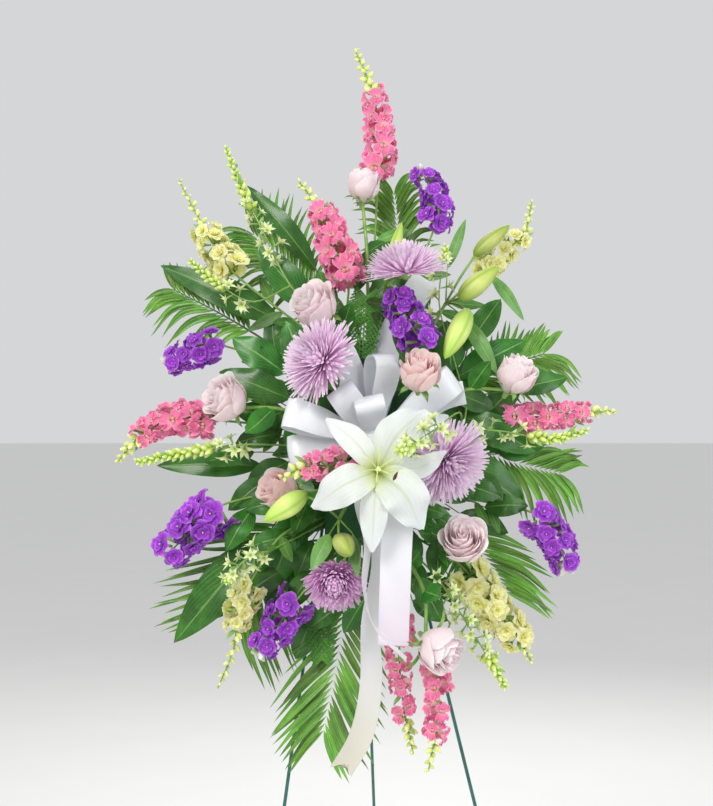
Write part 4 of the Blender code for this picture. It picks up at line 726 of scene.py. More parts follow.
# Each finish: the function that makes it, its name, its colours and its look. The colours of a
# petal run from base to tip, each after its place on the way.
FINISH_ROWS = {
    "stem": (stem_finish, "flower_stem", "5E8A34", "8FB158", {}),
    "dark_stem": (stem_finish, "leaf_stem", "2F5A1E", "5A8034", {}),
    "calyx": (stem_finish, "calyx_green", "5C8C3C", "9CBB6A", {"rough": 0.5}),
    "filament": (stem_finish, "lily_filament", "D2E28C", "E4ECB4", {}),
    "anther": (stem_finish, "lily_anther", "3A1A10", "5E3018", {"rough": 0.8}),
    "blush": (
        petal_finish,
        "blush_rose_petal",
        (0.0, "FBF3DC", 0.3, "FDE9EB", 0.75, "FDECEF", 1.0, "FEF4F5"),
        {"rim": "FEF8F8", "through": 0.38, **ROSE_LOOK},
    ),
    "peach": (
        petal_finish,
        "peach_rose_petal",
        (0.0, "FCEFDA", 0.3, "FCE4DD", 0.75, "FDE0DF", 1.0, "FDEAE7"),
        {"rim": "FEF2EE", "through": 0.38, **ROSE_LOOK},
    ),
    "mum": (
        petal_finish,
        "lavender_mum_petal",
        (0.0, "EBBEE4", 0.35, "F7D6F2", 0.8, "FAE4F8", 1.0, "FDF2FC"),
        {"veins": 3.0, "value": 0.20, "through": 0.42},
    ),
    "deep_mum": (
        petal_finish,
        "deep_mum_petal",
        (0.0, "D292D2", 0.4, "F0BCEC", 0.85, "F8D4F5", 1.0, "FBE6F9"),
        {"veins": 3.0, "value": 0.25, "through": 0.40},
    ),
    "pink": (
        petal_finish,
        "snapdragon_petal",
        (0.0, "FCE0D8", 0.3, "F990BA", 0.7, "F776AE", 1.0, "FBA2C6"),
        {"rim": "FDD0DE", "value": 0.3, "rim_share": 0.55, "through": 0.32},
    ),
    "pink_tube": (
        petal_finish,
        "snapdragon_tube",
        (0.0, "EEE8B4", 0.4, "FAE2D0", 1.0, "FAB4CC"),
        {"veins": 10.0, "value": 0.25, "through": 0.3},
    ),
    "palate": (
        petal_finish,
        "snapdragon_palate",
        (0.0, "FBE6A8", 0.5, "FAC2BE", 1.0, "F890B0"),
        {"value": 0.3},
    ),
    "purple": (
        petal_finish,
        "purple_stock_petal",
        (0.0, "EFDAFA", 0.16, "BA54E0", 0.7, "A83ED2", 1.0, "C06CEA"),
        {"rim": "CE90F2", "value": 0.4, "through": 0.34},
    ),
    "yellow": (
        petal_finish,
        "yellow_stock_petal",
        (0.0, "E4E048", 0.25, "F6F296", 0.7, "FAF8B6", 1.0, "FCFBD6"),
        {"rim": "FDFDE4", "vein_tone": 0.010, "value": 0.14, "through": 0.44},
    ),
    "larkspur": (
        petal_finish,
        "larkspur_petal",
        (0.0, "BDD468", 0.4, "DDE9A8", 1.0, "EEF3CE"),
        {"veins": 4.0, "value": 0.2, "through": 0.2},
    ),
    "lily": (
        petal_finish,
        "white_lily_tepal",
        (0.0, "A8C038", 0.14, "CCD890", 0.34, "E0E6DE", 1.0, "E2E8E9"),
        {"rib": "B9C98A", "roughness": 0.36, "through": 0.25, **LILY_LOOK},
    ),
    "pink_bud": (bud_finish, "snapdragon_bud", "A9C45A", "D6E07E", "EFDCB0", "B4CC66", {"hue": 0.05}),
    "yellow_bud": (bud_finish, "yellow_stock_bud", "93AE58", "D5DB84", "F2EBA0", "A8BC62", {}),
    "purple_bud": (bud_finish, "purple_stock_bud", "8BA668", "C6CDB2", "DCD2E2", "9AAE7C", {}),
    "larkspur_bud": (bud_finish, "larkspur_bud", "8FB03E", "B8D050", "E4EDB8", "9CBC48", {}),
    "lily_bud": (
        bud_finish,
        "lily_bud_green",
        "7EA22E",
        "C0CE70",
        "94B43A",
        "6E962A",
        {"lobes": 3.0, "value": 0.7},
    ),
    "stem_leaf": (
        leaf_finish,
        "stem_leaf",
        "2C6418",
        "5A9036",
        "9CC074",
        {"veins": 6.0, "vein_tone": 0.35, "value": 0.7, "roughness": 0.4, "coat": 0.1},
    ),
    "palm": (
        leaf_finish,
        "palm_leaflet",
        "3A7012",
        "6CA22E",
        "A6CE74",
        {"rib_width": 14.0, "rib_tone": 0.5, "value": 0.7, "roughness": 0.28, "scale": 20.0},
    ),
    "glossy": (
        leaf_finish,
        "glossy_broad_leaf",
        "1A5210",
        "3A7E24",
        "86B060",
        {"veins": 8.0, "vein_tone": 0.28, "roughness": 0.22, "specular": 0.36, "coat": 0.22},
    ),
    "lily_leaf": (
        leaf_finish,
        "lily_leaf",
        "4C8034",
        "72A452",
        "A4C884",
        {"rib_width": 20.0, "rib_tone": 0.4, "value": 0.5, "roughness": 0.34},
    ),
    "fern": (
        leaf_finish,
        "fern_pinnule",
        "2E7014",
        "52962A",
        "8CBE5C",
        {"rib_width": 10.0, "rib_tone": 0.3, "roughness": 0.45, "coat": 0.05},
    ),
    "satin": (satin_finish, "white_satin", {}),
    "enamel": (painted_finish, "green_enamel", {}),
    "plastic": (plastic_finish, "cage_plastic", {}),
    "foam": (foam_finish, "wet_foam", {}),
    "floor": (floor_finish, "pale_floor", {}),
}


# Kinds of flower.


ROSE_RINGS = (
    # count, radius, bottom, top, roll, span, tuck
    (3, 0.11, 0.34, 0.95, 0.05, 1.70, 0.34),
    (3, 0.20, 0.30, 0.99, 0.10, 1.60, 0.28),
    (4, 0.31, 0.22, 1.01, 0.14, 1.30, 0.22),
    (4, 0.44, 0.14, 1.00, 0.18, 1.25, 0.18),
    (5, 0.58, 0.08, 0.97, 0.24, 1.10, 0.15),
    (5, 0.73, 0.03, 0.94, 0.26, 1.05, 0.12),
    (5, 0.88, 0.00, 0.89, 0.28, 1.00, 0.10),
)


def rose_petal(radius, low, top, height, roll, span, tuck, openness, draw):
    """One petal of a rose, on its cup round +Z: narrow below, its rim a soft arc that rolls out."""
    phase = draw.uniform(0.0, 6.0)
    tip = draw.uniform(0.00, 0.04)
    roll = roll * (0.30 + 0.62 * openness) * draw.uniform(0.7, 1.3)
    closing = 0.20 * (1.0 - openness)
    skew = draw.uniform(-0.12, 0.12)
    flare = 0.08 * openness * draw.uniform(0.6, 1.2)

    def place(u, v):
        level = v * (1.0 - 0.34 * np.abs(u) ** 2.3)
        rim = late(level, 0.66)
        rolled = roll * rim**1.8
        wide = (0.42 + 0.58 * ease(v / 0.55)) * (1.0 - 0.26 * late(v, 0.6) ** 2)
        angle = u * span * wide + skew * v
        cup = 0.26 + 0.74 * ease(level / 0.56) ** 0.9
        reach = cup * (1.0 - closing * level**3) * (1.0 + tuck * u)
        reach = radius * (reach + 1.15 * rolled + flare * rim + 0.03 * np.sin(3.0 * u + phase) * v**2)
        rise = low + (top - low) * level + tip * (1.0 - np.abs(u)) ** 2 * rim
        rise = rise - 0.42 * rolled * rim + 0.010 * np.sin(5.0 * u + phase) * rim
        return reach * np.sin(angle), reach * np.cos(angle), height * rise

    return patch(10, 10, place)


def rose(name, place, mouth, size, tint, seed, openness):
    """A rose on its stem: rings of rolled petals round a tight spiral, with sepals below."""
    draw = random.Random(seed)
    heap = Heap()
    mouth = facing(*mouth)
    base = spot(*place) - mouth * (0.85 * size)
    height = 1.75 * size
    stem = stem_to(name, base + mouth * (0.1 * size))
    rod(heap, stem, 0.0026, 1)
    stem_leaves(heap, stem, 4, 0.056, 0.52, 3, draw)
    axes = axes_on(mouth, frame_on(mouth, draw.uniform(0.0, 6.0))[0])
    swirl = 0.0
    for count, radius, low, top, *form in ROSE_RINGS:
        swirl += draw.uniform(0.4, 0.9)
        fullness = 1.0 if radius < 0.6 else 0.86 + 0.14 * openness
        for i in range(count):
            wide = size * radius * fullness * draw.uniform(0.96, 1.04)
            level = (top - 0.16 * openness * radius) * draw.uniform(0.98, 1.02)
            made = rose_petal(wide, low, level, height, *form, openness, draw)
            angle = swirl + 2.0 * PI * i / count + draw.uniform(-0.1, 0.1)
            depth = 0.5 + 0.3 * (radius - 0.4) + draw.uniform(-0.08, 0.08)
            heap.add(turned(made, angle), 0, depth, axes, base)
    heap.add(funnel(0.0030, 0.30 * size, -0.010, 0.16 * height, 10, 5), 2, 0.5, axes, base)
    reach = 0.95 * size * (1.7 if name == "rose_bottom" else 1.0)
    for i in range(5):
        angle = FIFTH_TURN * i + draw.uniform(-0.2, 0.2)
        made = petal(reach, 0.009, 0.9, draw.uniform(-0.2, -1.4), 0.3, 0.05, base=0.8, taper=0.9, rows=8)
        heap.add(turned(made, angle, 0.0, 0.0, 0.12 * size), 2, draw.uniform(0.4, 0.7), axes, base)
    piece(name + "_bloom", heap, (tint, "stem", "calyx", "glossy"), name, tint + "_rose")


def mum_petal(length, width, hook):
    """A narrow channelled petal along +Z that hooks over along Y near its tip."""

    def place(u, v):
        swell = 0.45 + 0.55 * np.sin(PI * np.clip(v, 0.0, 1.0) ** 1.5) ** 0.6
        half = 0.5 * width * np.where(v > 0.97, 0.45, swell)
        level = length * v - 0.4 * abs(hook) * length * v**4
        return u * half, hook * length * v**2.5 + 0.5 * half * u * u, level

    return patch(2, 6, place)


def mum(name, place, mouth, size, seed, brim):
    """A spider chrysanthemum: rings of long narrow petals that open from a tight middle."""
    draw = random.Random(seed)
    heap = Heap()
    centre = spot(*place)
    mouth = facing(*mouth)
    stem = stem_to(name, centre - mouth * 0.004)
    rod(heap, stem, 0.0025, 1)
    stem_leaves(heap, stem, 3, 0.050, 0.42, 3, draw)
    deep = name == "mum_low"
    count = int(330 * (1.0 - brim))
    for i in range(count):
        front = 1.0 - (i + 0.5) / count * (1.06 - brim)
        side = frame_on(mouth, i * GOLDEN_TURN + draw.uniform(-0.1, 0.1))[0]
        away = side * math.sqrt(max(0.0, 1.0 - front * front)) + mouth * front
        reach = size * (0.80 + 0.28 * (1.0 - abs(front))) * draw.uniform(0.90, 1.07)
        hook = draw.uniform(0.03 if front > 0.25 else -0.03, 0.12)
        if deep:
            hook = draw.uniform(0.22, 0.38)
        made = mum_petal(reach - 0.08 * size, draw.uniform(0.0042, 0.0056), hook)
        axes = axes_on(away, mouth if front < 0.97 else side)
        shade = 0.35 + 0.25 * (1.0 - abs(front)) + draw.uniform(-0.15, 0.15)
        heap.add(made, 0, shade, axes, centre + away * (0.08 * size))
    middle = egg(0.34 * size, 0.32 * size, 8, 6)
    heap.add(middle, 2, 0.5, axes_on(mouth, UPWARD), centre - mouth * (0.16 * size))
    finishes = ("deep_mum" if deep else "mum", "stem", "calyx", "stem_leaf")
    piece(name + "_bloom", heap, finishes, name, "lavender_mum")


SNAPDRAGON_LIPS = (
    # turn, length, width, rise, end, cup, ruffle, start
    (-0.46, 0.56, 0.60, 1.25, -0.60, 0.28, 0.16, 0.13),
    (0.46, 0.56, 0.60, 1.25, -0.60, 0.28, 0.16, 0.13),
    (PI - 0.80, 0.50, 0.44, 1.05, -1.25, 0.3, 0.17, 0.14),
    (PI, 0.50, 0.46, 1.05, -1.25, 0.3, 0.17, 0.14),
    (PI + 0.80, 0.50, 0.44, 1.05, -1.25, 0.3, 0.17, 0.14),
)


def snapdragon_floret(seed):
    """An open floret along +Z: a pale pouched tube, two lobes above, three below, a palate."""
    draw = random.Random(seed)
    heap = Heap()
    heap.add(funnel(0.09, 0.22, 0.06, 0.62, 9, 5), TUBE)
    for turn, *form, start in SNAPDRAGON_LIPS:
        made = petal(*form, 3.4, draw.uniform(0, 6), rows=6, base=0.6, columns=6)
        heap.add(turned(made, turn, 0.52, 0.0, start), PETAL, draw.uniform(0.4, 0.6))
    for x in (-0.075, 0.075):
        heap.add(egg(0.20, 0.19, 7, 5), MIDDLE, 0.5, None, (x, -0.05, 0.50))
    for i in range(5):
        made = petal(0.20, 0.13, 1.2, 0.7, 0.2, 0.0, base=0.7, taper=0.9, columns=2, rows=3)
        heap.add(turned(made, FIFTH_TURN * i, 0.04, 0.0, 0.05), CALYX)
    return heap


STOCK_RINGS = (
    # limits of length, width, rise and end, of turn and of shade, then cup, ruffle, rows, lift, start
    (
        ((0.44, 0.56), (0.42, 0.54), (0.4, 0.8), (-0.6, 0.1)),
        (-0.2, 0.2),
        (0.35, 0.6),
        (0.2, 0.09, 5, 0.62, 0.03),
    ),
    (
        ((0.26, 0.38), (0.28, 0.36), (0.9, 1.3), (-0.1, 0.8)),
        (0.2, 0.8),
        (0.45, 0.8),
        (0.3, 0.12, 4, 0.64, 0.01),
    ),
)


def stock_floret(seed):
    """A double floret along +Z: ruffled petals in a loose rosette on a green calyx."""
    draw = random.Random(seed)
    heap = Heap()
    heap.add(funnel(0.05, 0.10, 0.15, 0.66, 6, 2), CALYX)
    for limits, turn, shade, (cup, ruffle, rows, lift, start) in STOCK_RINGS:
        for i in range(6):
            form = [draw.uniform(*ends) for ends in limits]
            made = petal(*form, cup, ruffle, 2.6, draw.uniform(0, 6), rows=rows)
            angle = SIXTH_TURN * i + draw.uniform(*turn)
            heap.add(turned(made, angle, lift, 0.0, start), PETAL, draw.uniform(*shade))
    heap.add(egg(0.16, 0.09, 5, 3), MIDDLE, 0.7, None, (0.0, 0.0, 0.66))
    return heap


def star_floret(seed):
    """A small open star along +Z, its middle one unit out, on a thin stalk."""
    draw = random.Random(seed)
    heap = Heap()
    heap.add(funnel(0.05, 0.14, 0.0, 0.95, 5, 2), CALYX)
    form = {"base": 0.45, "widest": 0.40, "taper": 0.85, "columns": 2, "rows": 5}
    for i in range(6):
        length = draw.uniform(0.95, 1.25)
        rise = draw.uniform(0.6, 1.0)
        end = draw.uniform(-0.4, 0.4)
        made = petal(length, 0.36, rise, end, 0.35, 0.03, 2.0, draw.uniform(0, 6), **form)
        angle = SIXTH_TURN * i + draw.uniform(-0.15, 0.15)
        heap.add(turned(made, angle, 0.9, 0.0, 0.02), PETAL, draw.uniform(0.4, 0.6))
    for i in range(3):
        heap.add(turned(egg(0.38, 0.10, 4, 3), THIRD_TURN * i, 0.9, 0.35), MIDDLE)
    return heap


def bud_heap(kind=MIDDLE):
    """A plump bud in a short calyx, one unit long along +Z."""
    heap = Heap()
    heap.add(egg(1.0, 0.62, 7, 6), kind)
    heap.add(funnel(0.10, 0.26, -0.04, 0.30, 6, 2), CALYX, 0.45)
    return heap


def place_head(heap, line, share, turn, size, lean, template, shade, draw):
    """A floret or bud beside the line, facing out from it and leaning towards its tip."""
    here, heading = along(line, share)
    axis = (frame_on(heading, turn)[0] + heading * lean).normalized()
    axis = (axis + Vector([draw.uniform(-0.16, 0.16) for i in range(3)])).normalized()
    heap.put(template, axes_on(axis, heading), here, size, shade)


def spike_head(heap, line, florets, buds, around, draw, templates, bud, bud_size):
    """Open florets on the part's own lattice, then buds that shrink towards the tip."""
    start, end, rings, reach = florets
    bud_rings, width = buds
    spin = draw.uniform(0.0, 6.0)
    for i in range(rings):
        share = start + (end - start) * (i + 0.6) / rings
        size = reach * (1.0 - 0.30 * i / max(1, rings))
        for j in range(around):
            turn = spin + 2.0 * PI * (j + 0.5 + 0.5 * (i % 2)) / around + draw.uniform(-0.18, 0.18)
            level = share + draw.uniform(-0.25, 0.25) * (end - start) / rings
            template = draw.choice(templates)
            grown = size * draw.uniform(0.90, 1.10)
            place_head(heap, line, level, turn, grown, 0.30, template, draw.uniform(0.3, 0.7), draw)
    total = 3 * bud_rings
    for i in range(total):
        share = end + (1.0 - end) * (i + 0.5) / total
        size = width * bud_size * (1.0 - 0.55 * i / total) * draw.uniform(0.9, 1.1)
        place_head(heap, line, share, spin + i * GOLDEN_TURN, size, 0.75, bud, 0.65 - 0.3 * i / total, draw)


def stem_leaves(heap, stem, count, length, broad, kind, draw):
    """Leaves on the free part of a stem, close above the foam, that spread to the front."""
    line = smooth(stem[1:], 4)
    form = {"columns": 4, "rows": 8, "ripple": 0.03, "crown": 0.10, "sharp": 0.75}
    for i in range(count):
        here, heading = along(line, 0.06 + 0.62 * (i + 0.5) / count)
        side = frame_on(heading, i * GOLDEN_TURN + draw.uniform(0.0, 6.0))[0]
        away = (side + heading * draw.uniform(0.3, 0.9) + FORWARD * draw.uniform(-0.2, 0.3)).normalized()
        reach = length * draw.uniform(0.8, 1.25)
        tip = here + away * reach
        path = [here, here.lerp(tip, 0.5) + side * (0.10 * reach) + heading * (0.06 * reach), tip]
        shade = draw.uniform(0.1, 0.9)
        blade(heap, path, broad * reach, shade, kind, phase=draw.uniform(0.0, 6.0), **form)


def side_leaves(heap, line, start, end, count, length, draw):
    """Small narrow leaves along a flower's stem."""
    for i in range(count):
        here, heading = along(line, start + (end - start) * (i + 0.5) / count)
        side = frame_on(heading, i * GOLDEN_TURN)[0]
        reach = length * draw.uniform(0.7, 1.2)
        tip = here + (side + heading * 0.9).normalized() * reach
        path = [here, here.lerp(tip, 0.5) + side * (0.12 * reach), tip]
        blade(heap, path, 0.18 * reach + 0.002, draw.uniform(0.3, 0.7), CALYX, 2, 5)


def spike(name, rows, florets, buds, around, seed, looks, more=()):
    """A flower spike: its stem, open florets and the buds of its tip."""
    *shapes, finishes, slot, leaves = looks
    draw = random.Random(seed)
    heap = Heap()
    path = spots(rows)
    line = smooth(path, 6)
    stem = stem_to(name, path[0], 0.5)
    rod(heap, stem[:-1] + path, 0.0023, STEM, tip=0.0010)
    stem_leaves(heap, stem, 5, 0.052, 0.30, len(finishes), draw)
    spike_head(heap, line, florets, buds, around, draw, *shapes)
    if leaves:
        side_leaves(heap, line, 0.0, florets[1] + 0.1, leaves, 0.022, draw)
    for branch_rows, branch_florets, branch_buds in more:
        path = spots(branch_rows)
        rod(heap, path, 0.0022, STEM, tip=0.0010)
        spike_head(heap, smooth(path, 6), branch_florets, branch_buds, around, draw, *shapes)
    piece(name + "_spike", heap, (*finishes, "stem_leaf"), name, slot)


def larkspur_head(heap, line, stars, buds, draw, templates, bud, dense):
    """Loose stars round the line, then a spire of small pointed buds."""
    count, start, end = stars
    total = count * dense
    for i in range(total):
        share = start + (end - start) * (i + 0.5) / total
        size = 0.0162 * (1.0 - 0.28 * i / total) * draw.uniform(0.85, 1.12)
        template = draw.choice(templates)
        place_head(heap, line, share, i * GOLDEN_TURN, size, 0.35, template, draw.uniform(0.3, 0.7), draw)
    start, width, knobs = buds
    total = 5 * knobs
    for i in range(total):
        share = start + (1.0 - start) * i / total
        size = 2.15 * width * (1.0 - 0.5 * i / total) * draw.uniform(0.85, 1.15)
        place_head(heap, line, share, i * GOLDEN_TURN, size, 0.8, bud, 0.35 + 0.3 * i / total, draw)


def larkspur(name, rows, stars, buds, seed, more=(), dense=2):
    draw = random.Random(seed)
    heap = Heap()
    shapes = [star_floret(seed + i) for i in range(3)], bud_heap(), dense
    path = spots(rows)
    rod(heap, stem_to(name, path[0], 0.5)[:-1] + path, 0.0018, STEM, tip=0.0009)
    larkspur_head(heap, smooth(path, 6), stars, buds, draw, *shapes)
    side_leaves(heap, smooth(path, 6), 0.1, 0.9, 6, 0.020, draw)
    for branch_rows, branch_stars, branch_buds in more:
        path = spots(branch_rows)
        rod(heap, path, 0.0015, STEM, tip=0.0009)
        larkspur_head(heap, smooth(path, 6), branch_stars, branch_buds, draw, *shapes)
    piece(name + "_spike", heap, ("larkspur", "larkspur_bud", "calyx", "stem"), name, "pale_larkspur")


def lily_bud(heap, base, tip, width, shade):
    """A long bud of three broad tepals, their seams as shallow grooves."""
    axis = tip - base

    def place(u, v):
        angle = PI * u
        ring = np.sin(PI * v**0.9) ** 0.62 * (1.10 - 0.28 * v)
        groove = 1.0 + 0.07 * np.cos(3.0 * angle) - 0.035 * np.abs(np.cos(1.5 * angle)) ** 20
        fat = 0.5 * width * ring * groove
        return fat * np.cos(angle), fat * np.sin(angle), axis.length * v

    heap.add(patch(24, 14, place, closed=True), 2, shade, axes_on(axis, FORWARD), base)


def lily(name):
    """The open lily: six broad tepals that arch back, pale filaments and a thick style."""
    heap = Heap()
    centre = spot(*LILY_CENTRE)
    rod(heap, stem_to(name, centre - FORWARD * 0.035), 0.0035, 3, tip=0.0050, sides=9)
    axes = axes_on(FORWARD, UPWARD)
    heap.add(funnel(0.006, 0.013, -0.040, -0.012, 12, 4), 0, 0.5, axes, centre)
    form = {"columns": 10, "rows": 22, "fold": 0.10, "widest": 0.52, "sharp": 0.72, "waves": 3.1}
    form.update(neck=0.12, crown=0.22)
    for number, (*ends, width) in enumerate(LILY_TEPALS):
        middle, tip = spots(ends)
        path = [centre - FORWARD * 0.022, centre + (middle - centre) * 0.35, middle, tip]
        ripple = 0.045 if number % 2 else 0.070
        shade = 0.5 + 0.1 * (number % 3 - 1)
        blade(heap, path, width * CM, shade, ripple=ripple, phase=1.3 * number, **form)
    root = centre - FORWARD * 0.015
    for i in range(6):
        turn = i * PI / 3 + 0.4
        away = RIGHT * math.cos(turn) + UPWARD * math.sin(turn)
        tip = centre + FORWARD * 0.040 + away * 0.024
        rod(heap, [root, centre + FORWARD * 0.014 + away * 0.006, tip], 0.0011, 1, tip=0.0006)
    ends = axes_on(RIGHT * 0.5 + UPWARD, FORWARD)
    heap.add(egg(0.014, 0.0050, 7, 6), 2, 0.5, ends, tip - UPWARD * 0.007)
    style = centre + FORWARD * 0.052 - UPWARD * 0.008
    rod(heap, [root, centre + FORWARD * 0.020 - UPWARD * 0.001, style], 0.0022, 1, tip=0.0019)
    for i in range(3):
        lobe = turned(egg(0.005, 0.0050, 6, 4), THIRD_TURN * i, 0.0, 0.0, 0.0018)
        heap.add(lobe, 1, 0.35, axes, style - FORWARD * 0.002)
    piece(name + "_bloom", heap, ("lily", "filament", "anther", "stem"), name, "white_lily")


def inner_leaves(heap, sector, count, draw):
    """Short-stalked leaves close round the foam, in a sector in degrees, behind the flowers."""
    start, end = sector
    form = {"columns": 6, "rows": 11, "ripple": 0.04, "sharp": 0.72, "crown": 0.15}
    for i in range(count):
        angle = math.radians(start + (end - start) * (i + draw.uniform(0.1, 0.9)) / count)
        share = 0.30 + 0.62 * ((i * 0.618) % 1.0)
        out = draw.uniform(4.5, 9.5)
        long = draw.uniform(5.5, 8.5)
        across = INNER_HEART[0] + INNER_REACH[0] * share * math.cos(angle)
        up = INNER_HEART[1] + INNER_REACH[1] * share * math.sin(angle)
        turn = angle + draw.uniform(-0.8, 0.8)
        base = spot(across, up, out)
        out += draw.uniform(-1.5, 1.5)
        tip = spot(across + long * math.cos(turn), up + long * math.sin(turn), out)
        root = spot(*INNER_HEART, 7.0).lerp(base, 0.45)
        middle = base.lerp(tip, 0.5) + FORWARD * (0.010 + 0.004 * draw.uniform(-1.0, 1.0))
        stalk = [root, root.lerp(base, 0.6) + FORWARD * 0.004, base, base.lerp(middle, 0.3)]
        rod(heap, stalk, 0.0012, 1, tip=0.0006)
        width = long * CM * draw.uniform(0.38, 0.52)
        shade = draw.uniform(0.05, 0.8)
        blade(heap, [base, middle, tip], width, shade, phase=draw.uniform(0.0, 6.0), **form)


def branch(name, stem_rows, radius, leaves, finishes, slot, buds=(), form=()):
    """A stem with its leaves and buds on short stalks."""
    heap = Heap()
    draw = random.Random(name)
    if name in INNER_SECTORS:
        inner_leaves(heap, *INNER_SECTORS[name], random.Random(name + "_inner"))
    rows = spots(stem_rows)
    rod(heap, stem_to(name, rows[0], 0.5)[:-1] + rows, radius, 1, tip=0.8 * radius)
    for number, (*ends, width, share) in enumerate(buds):
        root = rows[0] + (rows[1] - rows[0]) * share
        start, end = spots(ends)
        inside = start + (end - start).normalized() * 0.006
        rod(heap, [root, root.lerp(start, 0.55) + FORWARD * 0.006, inside], 0.0019, 1)
        lily_bud(heap, start, end, width * CM, BUD_SHADES[name][number])
    form = {"fold": 0.20, "sharp": 0.80, "ripple": 0.03, "waves": 2.0, "crown": 0.10, **dict(form)}
    for *ends, width, share in leaves:
        root = rows[0] + (rows[1] - rows[0]) * share
        start, end = spots(ends)
        middle = start.lerp(end, 0.5) + FORWARD * (0.08 * (end - start).length)
        rod(heap, [root, root.lerp(start, 0.6), start, start.lerp(middle, 0.3)], 0.0013, 1, tip=0.0006)
        shade = draw.uniform(0.2, 0.8)
        phase = draw.uniform(0.0, 6.0)
        blade(heap, [start, middle, end], width * CM, shade, columns=8, rows=16, phase=phase, **form)
    piece(name + "_leaves", heap, finishes, name, slot)


# Fronds.


def leaflets(heap, rows, reach, total, root, radius, tip):
    """The rib of a frond, then each leaflet's share, length, place, hand and directions."""
    line = smooth(spots(rows), 6)
    rod(heap, [root] + line, radius, 1, tip=tip, steps=1)
    for i in range(total):
        share = (i + 0.5) / total
        here, heading = along(line, FROND_START + (1.0 - FROND_START) * share)
        across = heading.cross(FORWARD).normalized()
        front = across.cross(heading).normalized()
        length = reach * CM * (math.sin(PI * (0.18 + 0.66 * share)) ** 0.7)
        for hand in (-1, 1):
            yield share, length, here, hand, across, heading, front


def palm(heap, rows, reach, count, root, draw, level):
    """A palm frond: long narrow folded leaflets in two rows along its rib, arching at their tips."""
    steps = leaflets(heap, rows, reach, int(1.35 * count), root, 0.0019, 0.0009)
    for share, length, here, hand, across, heading, front in steps:
        held = level and hand > 0
        sweep = 0.75 + 0.75 * share + draw.uniform(-0.14, 0.14)
        if held:
            sweep = 0.25 + 0.40 * sweep
        out = (across * hand + heading * sweep + front * draw.uniform(-0.02, 0.16)).normalized()
        grown = length * draw.uniform(0.86, 1.08)
        droop = 0.28 * draw.uniform(0.5, 1.6)
        if held:
            droop = 0.4 * droop
        middle = here + out * (0.5 * grown) - front * (0.10 * droop * grown)
        middle += heading * (draw.uniform(0.03, 0.09) * grown)
        tip = here + out * grown - front * (0.6 * droop * grown) - heading * (0.02 * grown)
        tip -= UPWARD * (0.8 * droop * grown * abs(out.dot(RIGHT)))
        path = [here + front * 0.001, middle, tip]
        width = draw.uniform(0.0068, 0.0092)
        blade(heap, path, width, draw.uniform(0.0, 1.0), 0, 2, 10, fold=0.60, widest=0.30, sharp=0.8)


def fern(heap, rows, reach, count, root, draw):
    """A fern tip: side fronds along its rib, each with two rows of small rounded pinnules."""
    steps = leaflets(heap, rows, reach, int(1.2 * count), root, 0.0016, 0.0007)
    for share, length, here, hand, across, heading, front in steps:
        out = (across * hand + heading * (0.75 + 0.75 * share)).normalized()
        tip = here + out * length - front * (0.15 * length)
        rod(heap, [here, tip], 0.0006, 1, sides=4, tip=0.0003)
        ahead = out.cross(front).normalized()
        for k in range(7):
            place = here.lerp(tip, (k + 0.6) / 7.2)
            for way in (-1, 1):
                end = place + (ahead * way + out * 0.9).normalized() * (0.0080 * (1.0 - 0.09 * k))
                path = [place, place.lerp(end, 0.5) + front * 0.0006, end]
                blade(heap, path, 0.0036, draw.uniform(0.2, 0.8), 0, 2, 3, widest=0.4, sharp=0.6)


def fronds(name, rows_of, finish, slot, seed):
    draw = random.Random(seed)
    heap = Heap()
    root = spot(*rows_of[0][0][0])
    rod(heap, stem_to(name, root, 0.6), 0.0019, 1)
    for rows, reach, count in rows_of:
        if finish == "palm":
            palm(heap, rows, reach, count, root, draw, name == "palm_low_left")
        else:
            fern(heap, rows, reach, count, root, draw)
    piece(name + "_fronds", heap, (finish, "dark_stem"), name, slot)


# Ribbon.


def ribbon_strip(heap, stations, widths, shades, steps, curl, phase=0.0, notch=0.0):
    """A strip of ribbon through the stations, with its width direction at each and a notched end."""
    line = smooth(stations, steps)
    rows = len(line) - 1
    middle = np.array(line)
    side = np.array(smooth(widths, steps))
    heading = np.gradient(middle, axis=0)
    heading /= np.linalg.norm(heading, axis=1)[:, None]
    normal = np.cross(heading, side)
    normal /= np.maximum(np.linalg.norm(normal, axis=1), 0.0001)[:, None]

    def place(u, v):
        bow = curl * (1.0 - u * u) + 0.03 * np.sin(9.0 * v + 2.0 * u + phase)
        places = middle[:, None] + side[:, None] * (0.5 * RIBBON_WIDTH * u)[..., None]
        places = places + normal[:, None] * (0.5 * RIBBON_WIDTH * bow)[..., None]
        cut = notch * (1.0 - np.abs(u)) * np.clip(1.0 + rows * (v - 1.0), 0.0, 1.0)
        return places - heading[:, None] * cut[..., None]

    length = sum(lengths_of(line))
    levels = np.interp(np.linspace(0.0, 1.0, rows + 1), np.linspace(0.0, 1.0, len(shades)), shades)
    made = patch(RIBBON_COLUMNS, rows, place, stretch=length / RIBBON_WIDTH)
    heap.add(made, 0, np.repeat(levels, RIBBON_COLUMNS + 1))
    return length


